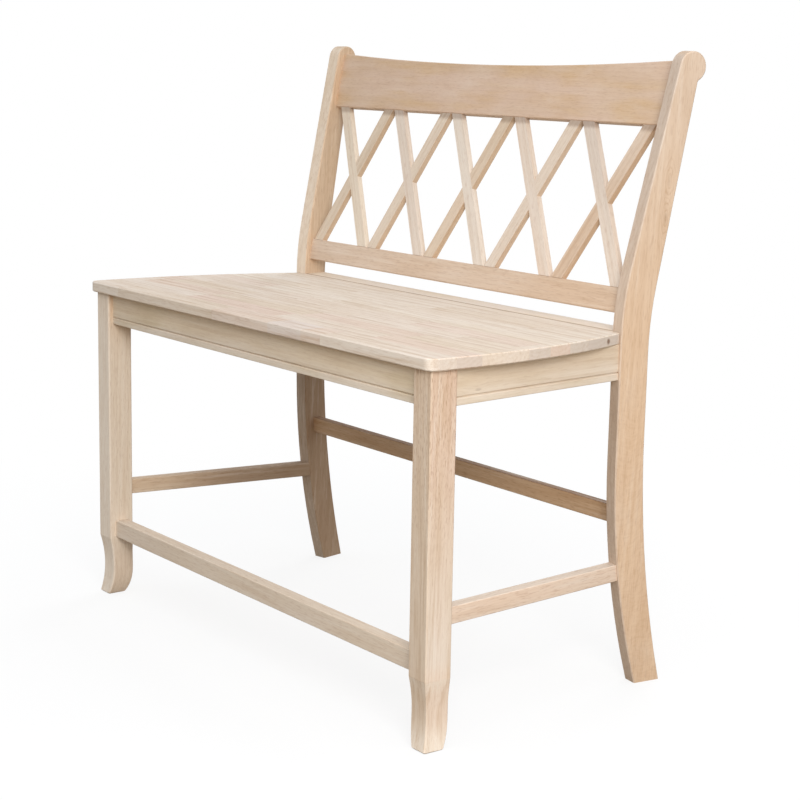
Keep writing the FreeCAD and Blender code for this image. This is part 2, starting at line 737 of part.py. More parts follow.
def back_rail(name, stock, ends, sockets, low, height):
    """End a rail of the back at the posts, with tenons, and cut the slats' sockets."""
    face = "(rail_thickness - rail_tenon_thickness) / 2"
    y = f"rail_front + ({low}) * sin(back_lean) + rail_thickness / 2 * cos(back_lean)"
    z = f"rail_base + ({low}) * cos(back_lean)"
    tongue, socket = cross_tenon(name, post_inner_half(y, z), face, "rail_tenon_thickness", low, height,
                                 "rail_tenon_length", BACK)
    shouldered = cut(f"{name}_shouldered", stock, *ends)
    return cut(name, fuse(f"{name}_tenoned", shouldered, tongue), *sockets), socket


def seat_board(holes):
    """Make the whole seat: straight front, rounded corners and sides that bow inward to the back."""
    half = "seat_front_width / 2"
    back = "seat_back_width / 2"
    front = "-seat_front_overhang"
    outline = [
        (f"{half} - seat_corner_radius", front),
        (half, f"seat_corner_radius + {front}", "seat_corner_radius", "left"),
        (half, "seat_side_start"),
        (back, "seat_corner_back", "seat_side_radius", "left"),
        ("seat_notch_half", "seat_back_line"),
        ("-seat_notch_half", "seat_back_line"),
        (f"-{back}", "seat_corner_back"),
        (f"-{half}", "seat_side_start", "seat_side_radius", "left"),
        (f"-{half}", f"seat_corner_radius + {front}"),
        (f"seat_corner_radius - {half}", front, "seat_corner_radius", "left"),
    ]
    board = bar("seat_board", "XY_Plane", outline, "seat_thickness", placed(z="seat_underside"))
    thickness = value("seat_thickness")
    corner = value("seat_corner_back")

    def on_rim(edge):
        middle = edge_middle(edge)
        level = min(abs(middle.z), abs(middle.z - thickness)) < 0.01
        return level and middle.y < corner

    ease(board, "seat_easing", "seat_edge_ease", on_rim)
    return cut("seat_drilled", board, *holes)


def seat_staves(board):
    """Split the seat into the edge-glued staves that it is made of."""
    staves = []
    width = f"seat_depth / {STAVE_COUNT}"
    for number in range(STAVE_COUNT):
        strip = box(f"stave_strip_{number + 1}", "2 * seat_front_width", width, "2 * seat_thickness",
                    placed("-seat_front_width", f"{width} * {number} - seat_front_overhang",
                           "seat_underside - seat_thickness / 2"))
        staves.append(common(f"seat_stave_{number + 1}", board, strip))
    return staves


def seat_back_filler(ends):
    """Make the strip that carries the seat's surface back between the posts."""
    front = "seat_back_line + filler_gap"
    stock = bar("filler_stock", "YZ_Plane",
                rounded(front, f"{front} + filler_depth", "seat_underside", "seat_height",
                        "filler_edge_round"),
                "2 * post_outer_half", middle=True)
    return cut("seat_back_filler", stock, *ends)


def corner_block(name, frame, face, screw_shift, ends, holes=()):
    """Make a diagonal block in a corner under the seat, with the screw that holds the seat.

    Returns the block, the screw and the tool that drills the seat.
    """
    stock = box(f"{name}_stock", f"{TRIM}", "block_thickness", "block_height",
                f"{frame} * " + placed(f"-{TRIM} / 2", face, "block_base"))
    screw_frame = f"{frame} * " + placed(screw_shift, f"{face} + block_thickness / 2", "block_base")
    length = "block_height + screw_bite"
    shank = cylinder(f"{name}_screw_shank", "screw_radius", length, screw_frame)
    head = cylinder(f"{name}_screw_head", "screw_head_radius", "screw_head_height",
                    f"{screw_frame} * " + placed(z="-screw_head_height"))
    hole = cylinder(f"{name}_screw_hole", "screw_radius + joint_clearance",
                    f"{length} + joint_clearance", screw_frame)
    block = cut(f"{name}_right", stock, hole, *ends, *holes)
    return block, fuse(f"{name}_screw", shank, head), hole


def leg_bolt(frame, face):
    """Make the bolt that draws a front leg into its corner block, and the tool for its hole."""
    start = f"{frame} * " + placed("0", f"{face} + block_thickness", "block_base + bolt_rise",
                                   axis="1; 0; 0", angle="90")
    length = "block_thickness + block_corner_gap + bolt_bite"
    shank = cylinder("leg_bolt_shank", "bolt_radius", length, start)
    head = doc.addObject("Part::Prism", "leg_bolt_head")
    head.Polygon = 6
    bind(head, Circumradius="bolt_head_radius", Height="bolt_head_height",
         Placement=f"{start} * " + placed(z="-bolt_head_height"))
    hole = cylinder("leg_bolt_hole", "bolt_radius + joint_clearance", f"{length} + joint_clearance", start)
    return fuse("leg_bolt", shank, head), hole


def group(name, pieces):
    """Gather right-hand fasteners and their left-hand copies as separate solids of one node."""
    result = doc.addObject("Part::Compound", name)
    result.Links = pieces + [mirrored(f"{piece.Name}_left", piece) for piece in pieces]
    return result


def corner_blocks():
    """Make the right-hand corner blocks with all that fastens them."""
    side = side_frame("side_apron")
    beside = box("beside_side_apron", f"{TRIM}", f"2 * {TRIM}", "seat_height",
                 f"{side} * " + placed("-apron_thickness", f"-{TRIM} / 2"))
    ahead = box("ahead_of_front_apron", f"2 * {TRIM}", f"{TRIM}", "seat_height",
                placed("0", f"front_apron_inset + apron_thickness - {TRIM}"))
    behind = box("behind_rear_apron", f"2 * {TRIM}", f"{TRIM}", "seat_height",
                 placed("0", "rear_apron_front"))
    front = placed("leg_inner_half", "leg_depth", "0", angle="45")
    rear = placed("seat_notch_half", "post_front + post_width * sin(post_turn)", "0", angle="-45")
    bolt, bolt_hole = leg_bolt(front, "block_corner_gap")
    front_corner = corner_block("corner_block_front", front, "block_corner_gap", "-front_screw_shift",
                                (beside, ahead), (bolt_hole,))
    rear_corner = corner_block("corner_block_rear", rear, "-block_corner_gap - block_thickness",
                               "rear_screw_shift", (beside, behind))
    return front_corner, rear_corner, bolt, bolt_hole


def build():
    """Build every piece and return those that become nodes: right-hand and whole ones, then copies."""
    floor = floor_block()
    ends = beyond_posts("beyond_post")
    post_face = behind_post("behind_post_face")
    stretcher_face = behind_post("behind_post_sweep", "stretcher_sweep - shoulder_clearance",
                                 "stretcher_middle - seat_height",
                                 "asin((front_sweep_height - stretcher_middle) / front_sweep_radius)")
    side_apron, side_apron_socket = side_piece(
        "side_apron", flipped(beaded("0", "apron_thickness", "apron_base", "seat_underside")),
        "apron_thickness", "apron", "apron_tenon_base", post_face)
    side_stretcher, side_stretcher_socket = side_piece(
        "side_stretcher",
        rounded("-side_stretcher_thickness", "0", "side_stretcher_base",
                "side_stretcher_base + side_stretcher_height", "stretcher_edge_round"),
        "side_stretcher_thickness", "stretcher",
        "side_stretcher_base + (side_stretcher_height - stretcher_tenon_height) / 2", stretcher_face)
    front_rail, front_rail_socket = front_apron()
    rear_rail, rear_rail_socket = rear_apron(ends)
    front_bar, front_bar_socket = front_stretcher()
    rear_bar, rear_bar_socket = rear_stretcher(ends)
    slats = []
    sockets = []
    for number in range(CROSS_COUNT):
        pair, pair_sockets = slat_pair(number)
        slats += pair
        sockets += pair_sockets
    crest, crest_socket = crest_rail(ends, sockets)
    lower, lower_socket = lower_back_rail(ends, sockets)
    front_corner, rear_corner, bolt, bolt_hole = corner_blocks()
    front_block, front_screw, front_hole = front_corner
    rear_block, rear_screw, rear_hole = rear_corner
    holes = [front_hole, rear_hole]
    holes += [mirrored(f"{hole.Name}_left", hole) for hole in holes]
    leg = cut("front_leg_right", leg_blank(), floor, front_rail_socket, side_apron_socket,
              front_bar_socket, side_stretcher_socket, bolt_hole)
    post = cut("rear_post_right", post_blank(), floor, rear_rail_socket, side_apron_socket,
               rear_bar_socket, side_stretcher_socket, crest_socket, lower_socket)
    pairs = [leg, post, side_apron, side_stretcher, front_block, rear_block]
    whole = [front_rail, rear_rail, front_bar, rear_bar, crest, lower, seat_back_filler(ends)]
    whole += seat_staves(seat_board(holes)) + slats
    whole += [group("leg_bolts", [bolt]), group("seat_screws", [front_screw, rear_screw])]
    copies = [mirrored(piece.Name.replace("_right", "_left"), piece) for piece in pairs]
    return pairs + whole, copies


def stand(pieces):
    """Turn the bench onto the floor and centre it over the origin."""
    turn = FreeCAD.Rotation(FreeCAD.Vector(1, 0, 0), -value("stance_slope"))
    low = math.inf
    high = -math.inf
    for piece in pieces:
        shape = piece.Shape.copy()
        shape.Placement = FreeCAD.Placement(FreeCAD.Vector(), turn).multiply(shape.Placement)
        bounds = shape.optimalBoundingBox(False)
        low = min(low, bounds.YMin)
        high = max(high, bounds.YMax)
    lift = value("foot_drop") * math.cos(math.radians(value("stance_slope")))
    middle = FreeCAD.Vector(0, -(low + high) / 2, lift)
    for piece in pieces:
        piece.Placement = FreeCAD.Placement(middle, turn).multiply(piece.Placement)


def check(objects):
    """Stop where a document object failed or has no sound shape."""
    for item in objects:
        if "Invalid" in item.State or "Error" in item.State:
            raise RuntimeError(f"{item.Label} did not compute")
        if hasattr(item, "Shape") and (item.Shape.isNull() or not item.Shape.isValid()):
            raise RuntimeError(f"{item.Label} has no sound shape")


doc = FreeCAD.newDocument("bench")
sheet = doc.addObject("Spreadsheet::Sheet", "Sizes")
for row, (size_name, number) in enumerate(SIZES.items(), 1):
    sheet.set(f"A{row}", size_name)
    sheet.set(f"B{row}", str(number))
    sheet.setAlias(f"B{row}", size_name)
doc.recompute()

nodes, left_nodes = build()
doc.recompute()
check(doc.Objects)
stand(nodes)
doc.recompute()
check(nodes + left_nodes)

os.makedirs("parts", exist_ok=True)
for node in nodes + left_nodes:
    solids = node.Shape.Solids
    shape = solids[0] if len(solids) == 1 else node.Shape
    shape.exportStep(f"parts/{node.Label}.step")
    print(node.Label, len(solids), round(node.Shape.Volume / 1000, 1))
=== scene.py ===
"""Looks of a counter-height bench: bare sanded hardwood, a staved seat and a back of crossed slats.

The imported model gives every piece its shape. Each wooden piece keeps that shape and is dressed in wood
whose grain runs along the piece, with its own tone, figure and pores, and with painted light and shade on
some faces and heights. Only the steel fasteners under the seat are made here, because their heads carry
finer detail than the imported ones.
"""
import logging
import math
from dataclasses import dataclass, replace
from enum import Enum
from typing import Any

import bpy
import numpy as np
from bpy.types import ID, Material, Mesh, Node, NodeSocket, Object, World
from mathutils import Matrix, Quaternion, Vector


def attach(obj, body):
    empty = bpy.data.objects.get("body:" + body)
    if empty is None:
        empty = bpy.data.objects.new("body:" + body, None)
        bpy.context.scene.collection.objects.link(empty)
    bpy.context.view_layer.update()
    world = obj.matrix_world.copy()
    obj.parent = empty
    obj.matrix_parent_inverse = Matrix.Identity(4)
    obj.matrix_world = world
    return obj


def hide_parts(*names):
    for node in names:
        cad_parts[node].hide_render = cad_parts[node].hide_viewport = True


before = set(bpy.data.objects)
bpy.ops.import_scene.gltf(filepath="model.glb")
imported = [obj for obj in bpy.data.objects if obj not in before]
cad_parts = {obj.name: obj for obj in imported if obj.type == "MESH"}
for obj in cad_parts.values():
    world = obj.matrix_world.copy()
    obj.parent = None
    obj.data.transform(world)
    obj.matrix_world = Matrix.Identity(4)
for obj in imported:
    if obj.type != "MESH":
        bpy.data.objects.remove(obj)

log = logging.getLogger("bench")

Colour = tuple[float, float, float]
Point = tuple[float, float, float]
Span = tuple[float, float]

WHITE: Colour = (1.0, 1.0, 1.0)


def linear(*levels: int) -> Colour:
    """Turn a display colour into the linear one that shaders take.

    Args:
        levels: The levels of red, green and blue, from 0 to 255.

    Returns:
        The linear colour.
    """
    shares = (level / 255.0 for level in levels)
    return tuple(s / 12.92 if s <= 0.04045 else ((s + 0.055) / 1.055) ** 2.4 for s in shares)


class Tone(Enum):
    """The tones that bare hardwood boards come in."""

    MILK = linear(247, 234, 218)
    IVORY = linear(238, 227, 214)
    CREAM = linear(233, 219, 205)
    STRAW = linear(236, 219, 194)
    LINEN = linear(232, 216, 197)
    BLUSH = linear(235, 211, 190)
    PEACH = linear(225, 196, 166)
    SAND = linear(225, 207, 185)
    CLAY = linear(217, 191, 166)
    TAN = linear(205, 173, 139)
    ROSE = linear(226, 200, 184)
    ASH = linear(214, 201, 190)
    OLIVE = linear(207, 188, 150)
    HONEY = linear(214, 180, 134)
    CHALK = linear(234, 230, 226)
    UMBER = linear(112, 76, 48)


class Stain(Enum):
    """Shades that darken a tone that they are multiplied with."""

    LATEWOOD = (0.80, 0.72, 0.63)
    PORES = (0.60, 0.47, 0.39)
    # Painted shadow, for the dark line of a gap along an edge.
    GAP_SHADOW = (0.45, 0.33, 0.22)


class Facing(Enum):
    """A way to look."""

    FRONT = (0.0, -1.0, 0.0)
    RIGHT = (1.0, 0.0, 0.0)
    UP = (0.0, 0.0, 1.0)
    DOWN = (0.0, 0.0, -1.0)


class Channel:
    """A node's value that can be used in Python expressions."""

    def __init__(self, tree: "NodeTree", socket: NodeSocket) -> None:
        """Wrap an output socket of a tree."""
        self.tree = tree
        self.socket = socket

    def math(self, operation: str, *others: "Number", first: bool = True) -> "Channel":
        """Add a Math node.

        Args:
            operation: Blender's name of the operation.
            others: The other operands.
            first: Whether this value is the first operand.

        Returns:
            The node's result.
        """
        operands = [self, *others] if first else [*others, self]
        node = self.tree.node("ShaderNodeMath", {"operation": operation}, dict(enumerate(operands)))
        return self.tree.channel(node)

    def __add__(self, other: "Number") -> "Channel":
        """Return the sum."""
        return self.math("ADD", other)

    def __sub__(self, other: "Number") -> "Channel":
        """Return the difference."""
        return self.math("SUBTRACT", other)

    def __rsub__(self, other: "Number") -> "Channel":
        """Return the difference from another value."""
        return self.math("SUBTRACT", other, first=False)

    def __mul__(self, other: "Number") -> "Channel":
        """Return the product."""
        return self.math("MULTIPLY", other)

    def __pow__(self, other: "Number") -> "Channel":
        """Return the power."""
        return self.math("POWER", other)

    def __rpow__(self, other: "Number") -> "Channel":
        """Return another value raised to this one."""
        return self.math("POWER", other, first=False)

    __radd__ = __add__
    __rmul__ = __mul__

    def ramp(self, low: float, high: float) -> "Channel":
        """Rise smoothly from 0 at the low value to 1 at the high one."""
        return self.tree.channel(self.tree.node("ShaderNodeMapRange", {"interpolation_type": "SMOOTHSTEP"}, {
            0: self, 1: low, 2: high, 3: 0.0, 4: 1.0}))


Number = Channel | float


class NodeTree:
    """A node tree with one way to add nodes of any type."""

    def __init__(self, tree: bpy.types.NodeTree) -> None:
        """Take over a tree and empty it."""
        self.tree = tree
        self.tree.nodes.clear()

    def node(self, kind: str, settings: dict[str, Any] | None = None,
             values: dict[int | str, Any] | None = None) -> Node:
        """Add any node.

        Args:
            kind: Blender's type of the node.
            settings: Properties, set before the sockets.
            values: Values or links of the input sockets, by name or place. A node links its first
                output, and a list links all that it holds.

        Returns:
            The new node.
        """
        node = self.tree.nodes.new(kind)
        for name, setting in (settings or {}).items():
            setattr(node, name, setting)
        for key, value in (values or {}).items():
            for one in value if isinstance(value, list) else [value]:
                if isinstance(one, Node):
                    one = self.channel(one)
                if isinstance(one, Channel):
                    self.tree.links.new(one.socket, node.inputs[key])
                else:
                    node.inputs[key].default_value = one
        return node

    def channel(self, node: Node, output: int | str = 0) -> Channel:
        """Wrap an output of a node."""
        return Channel(self, node.outputs[output])

    def vector(self, x: Number, y: Number, z: Number) -> Channel:
        """Join three values into a vector."""
        return self.channel(self.node("ShaderNodeCombineXYZ", {}, {0: x, 1: y, 2: z}))


class ShaderTree(NodeTree):
    """The shader nodes of a material or of the world."""

    def __init__(self, owner: Material | World) -> None:
        """Take over the owner's nodes.

        Args:
            owner: The material or the world.
        """
        self.owner = owner
        owner.use_nodes = True
        super().__init__(owner.node_tree)

    @classmethod
    def of_material(cls, name: str) -> "ShaderTree":
        """Start a new material."""
        return cls(bpy.data.materials.new(name))

    def dot(self, vector: Channel, direction: Vector) -> Channel:
        """Measure a vector along a fixed direction."""
        return self.channel(self.node("ShaderNodeVectorMath", {"operation": "DOT_PRODUCT"}, {
            0: vector, 1: tuple(direction)}), "Value")

    def noise(self, place: Channel, detail: float, rough: float = 0.5) -> Channel:
        """Sample soft noise, mostly between 0.3 and 0.7, with one swing per unit."""
        return self.channel(self.node("ShaderNodeTexNoise", {"noise_dimensions": "3D"}, {
            "Vector": place, "Scale": 1.0, "Detail": detail, "Roughness": rough}))

    def mix(self, factor: Number, base: Channel | Colour, other: Channel | Colour,
            blend: str = "MIX") -> Channel:
        """Mix two colours.

        Args:
            factor: How much of the other colour shows.
            base: The colour at factor 0.
            other: The colour at factor 1.
            blend: Blender's name of the way to mix.

        Returns:
            The mixed colour.
        """
        base, other = (c if isinstance(c, Channel) else (*c, 1.0) for c in (base, other))
        node = self.node("ShaderNodeMix", {"data_type": "RGBA", "blend_type": blend, "clamp_factor": True},
                         {0: factor, 6: base, 7: other})
        return self.channel(node, 2)

    def tint(self, factor: Number, base: Channel, tone: Tone) -> Channel:
        """Let a tone take over from a colour."""
        return self.mix(factor, base, tone.value)

    def stain(self, factor: Number, base: Channel, stain: Stain) -> Channel:
        """Darken a colour with a stain."""
        return self.mix(factor, base, stain.value, "MULTIPLY")

    def surface(self, shader: Node) -> Material:
        """Finish the material with its surface shader."""
        self.node("ShaderNodeOutputMaterial", {}, {"Surface": shader})
        return self.owner


def mesh_points(piece: Object) -> np.ndarray:
    """Read the vertices of a piece, one row each."""
    return np.array([vertex.co for vertex in piece.data.vertices])


def add_object(name: str, data: ID) -> Object:
    """Put a new object into the scene.

    Args:
        name: The object's name.
        data: Its mesh, lamp or camera.

    Returns:
        The object.
    """
    added = bpy.data.objects.new(name, data)
    bpy.context.scene.collection.objects.link(added)
    return added


@dataclass(frozen=True)
class GrainFrame:
    """Where a piece lies and which way its grain runs."""

    centre: Vector
    along: Vector
    across: Vector
    depth: Vector

    # A mesh gives its axes without a sense, so each axis is turned to the side of one of these.
    ALONG_SIDE = (0.9, 0.3, 1.0)
    ACROSS_SIDE = (0.3, 1.0, 0.6)

    @classmethod
    def of(cls, piece: Object, along: Vector | None = None) -> "GrainFrame":
        """Find the frame of a piece from its mesh.

        Args:
            piece: The object.
            along: The grain's direction, if it isn't the piece's longest one.

        Returns:
            The frame.
        """
        points = mesh_points(piece)
        axes = np.linalg.svd(points - points.mean(0), full_matrices=False)[2]
        first = cls.turned(Vector(axes[0]) if along is None else along.normalized(), cls.ALONG_SIDE)
        second = Vector(axes[1])
        second = cls.turned((second - first * second.dot(first)).normalized(), cls.ACROSS_SIDE)
        return cls(Vector((points.min(0) + points.max(0)) / 2), first, second, first.cross(second))

    @staticmethod
    def turned(axis: Vector, side: Point) -> Vector:
        """Turn an axis to the side that a direction points to."""
        return -axis if axis.dot(Vector(side)) < 0 else axis


@dataclass(frozen=True)
class Board:
    """A shaded point of a piece, measured along, across and through its grain."""

    tree: ShaderTree
    grain: GrainFrame
    place: Channel
    normal: Channel
    along: Channel
    across: Channel
    depth: Channel

    @classmethod
    def of(cls, tree: ShaderTree, grain: GrainFrame) -> "Board":
        """Read the shaded point.

        Args:
            tree: The material's tree.
            grain: The piece's frame.

        Returns:
            The point.
        """
        coordinates = tree.node("ShaderNodeTexCoord")
        place = tree.channel(coordinates, "Object")
        axes = (grain.along, grain.across, grain.depth)
        measures = (tree.dot(place, axis) - grain.centre.dot(axis) for axis in axes)
        return cls(tree, grain, place, tree.channel(coordinates, "Normal"), *measures)

    def level(self, way: Facing) -> Channel:
        """Measure how far the point lies along a way, in metres."""
        return self.tree.dot(self.place, Vector(way.value))

    def squareness(self, direction: Vector) -> Channel:
        """Measure how squarely the surface looks along a direction."""
        return self.tree.dot(self.normal, direction)


@dataclass(frozen=True)
class Pattern:
    """A soft noise in the wood, by its swings per metre along and across the grain.

    It darkens the wood as the noise rises through dark, and bleaches it as it falls through pale.
    """

    along: float
    across: float
    detail: float = 2.0
    rough: float = 0.5
    dark: Span = (0.3, 0.7)
    pale: Span | None = None
    pale_share: float = 0.0

    def sample(self, board: Board, shift: Number, through: Number | None = None) -> Channel:
        """Sample the noise.

        Args:
            board: The shaded point.
            shift: What moves the noise along the grain.
            through: What moves it through the board, if anything does.

        Returns:
            The noise.
        """
        depth = board.depth * self.across
        place = board.tree.vector(board.along * self.along + shift, board.across * self.across,
                                  depth if through is None else depth + through)
        return board.tree.noise(place, self.detail, self.rough)

    def shade(self, tree: ShaderTree, colour: Channel, noise: Channel, amount: Number) -> Channel:
        """Let the pattern show in a colour.

        Args:
            tree: The material's tree.
            colour: The colour before.
            noise: The sampled noise.
            amount: How strongly it shows, from 0 to 1.

        Returns:
            The colour with the pattern.
        """
        colour = tree.stain(noise.ramp(*self.dark) * amount, colour, Stain.LATEWOOD)
        if self.pale is None:
            return colour
        return tree.tint((1.0 - noise.ramp(*self.pale)) * (self.pale_share * amount), colour, Tone.IVORY)


@dataclass(frozen=True)
class KnotMarks:
    """What a knot does at a shaded point: its core, the lines round it and the grain's swerve, in metres."""

    spot: Channel
    eye: Channel
    swerve: Channel


@dataclass(frozen=True)
class Knot:
    """A pin knot: its place on the piece in metres, its radius, how dark it is and how marked its eye."""

    place: Point
    radius: float
    darkness: float = 0.7
    eye: float = 0.0

    # The share at which a distance along the grain counts.
    FLATNESS = 0.3
    LINE_SPAN = (0.2, 1.0)
    WANDER = Pattern(30.0, 150.0)
    # Lengths as shares of the radius.
    CORE = 0.3
    EYE_REACH = 4.5
    LINE_PITCH = 0.8
    LINE_WANDER = 1.6
    SWERVE = 1.6
    SWERVE_REACH = 5.0

    def marks(self, board: Board) -> KnotMarks:
        """Mark the knot.

        Args:
            board: The shaded point.

        Returns:
            The marks.
        """
        radius, grain = self.radius, board.grain
        centre = Vector(self.place) - grain.centre
        along = board.along - centre.dot(grain.along)
        across = board.across - centre.dot(grain.across)
        depth = board.depth - centre.dot(grain.depth)
        reach = ((along * self.FLATNESS) ** 2.0 + across ** 2.0 + depth ** 2.0).math("SQRT")
        wander = self.WANDER.sample(board, 0.0) * (self.LINE_WANDER * radius)
        waves = ((reach + wander) * (2 * math.pi / (self.LINE_PITCH * radius))).math("SINE")
        return KnotMarks(
            spot=1.0 - reach.ramp(radius * self.CORE, radius),
            eye=waves.ramp(*self.LINE_SPAN) * (1.0 - reach.ramp(radius, radius * self.EYE_REACH)),
            swerve=(1.0 - reach.ramp(0.0, radius * self.SWERVE_REACH)) * (radius * self.SWERVE))


@dataclass(frozen=True)
class Lengths:
    """A stave's lengths at a shaded point: each one's chance, the jump of its grain, and its joints."""

    chance: Channel
    jump: Channel
    joint: Channel


@dataclass(frozen=True)
class Segments:
    """Finger-jointed lengths that a stave is made of, by their mean length and where they start."""

    length: float
    shift: float

    UNEVENNESS = 0.7
    GRAIN_JUMP = 9.0
    JOINT_WIDTH = 0.0007
    JOINT_AMOUNT = 0.5
    ROSY_CHANCE = (0.6, 0.95)
    SANDY_CHANCE = (0.0, 0.3)
    TINT_AMOUNT = 0.6

    def split(self, board: Board) -> Lengths:
        """Split a stave.

        Args:
            board: The shaded point.

        Returns:
            The lengths.
        """
        tree = board.tree
        cell = {"W": board.along + self.shift, "Scale": 1.0 / self.length, "Randomness": self.UNEVENNESS}
        cells, edges = (
            tree.node("ShaderNodeTexVoronoi", {"voronoi_dimensions": "1D", "feature": feature}, cell)
            for feature in ("F1", "DISTANCE_TO_EDGE"))
        parts = tree.node("ShaderNodeSeparateColor", {}, {0: tree.channel(cells, "Color")})
        joint = 1.0 - tree.channel(edges, "Distance").ramp(0.0, self.JOINT_WIDTH / self.length)
        return Lengths(chance=tree.channel(parts, 0), jump=tree.channel(parts, 1) * self.GRAIN_JUMP,
                       joint=joint)


@dataclass(frozen=True)
class Patch:
    """A part of a piece that gets a tone of its own: in some places the wood's own tone, in others painted
    light and shade.
    """

    tone: Tone
    amount: float

    def mask(self, board: Board) -> Channel:
        """Mark the part with the share of its tone, from 0 to 1."""
        raise NotImplementedError


@dataclass(frozen=True)
class PaintedLightFace(Patch):
    """The faces that look one way, given a tone of painted light and shade for how light falls on that side.
    """

    facing: Facing

    SPAN = (0.5, 0.85)

    def mask(self, board: Board) -> Channel:
        """Mark the faces."""
        return board.squareness(Vector(self.facing.value)).ramp(*self.SPAN)


@dataclass(frozen=True)
class Fade(Patch):
    """A tone that takes over from one level to a lower one, in metres along a way."""

    start: float
    end: float
    way: Facing = Facing.UP

    def mask(self, board: Board) -> Channel:
        """Mark what lies past the start."""
        return 1.0 - board.level(self.way).ramp(self.end, self.start)


@dataclass(frozen=True)
class Band(Patch):
    """A stretch between two levels, in metres along a way, that may begin softly."""

    EDGE = 0.001

    start: float
    end: float
    way: Facing = Facing.RIGHT
    soft: float = EDGE

    def mask(self, board: Board) -> Channel:
        """Mark the stretch."""
        level = board.level(self.way)
        return level.ramp(self.start, self.start + self.soft) - level.ramp(self.end, self.end + self.EDGE)


@dataclass(frozen=True)
class Figure:
    """The wood's figure at a shaded point, with the shift that tells one length of wood from another."""

    board: Board
    lengths: Lengths | None
    marks: list[KnotMarks]
    shift: Number
    warp: Channel
    rings: Channel
    drift: Channel
    streak: Channel
    fibre: Channel
    fleck: Channel


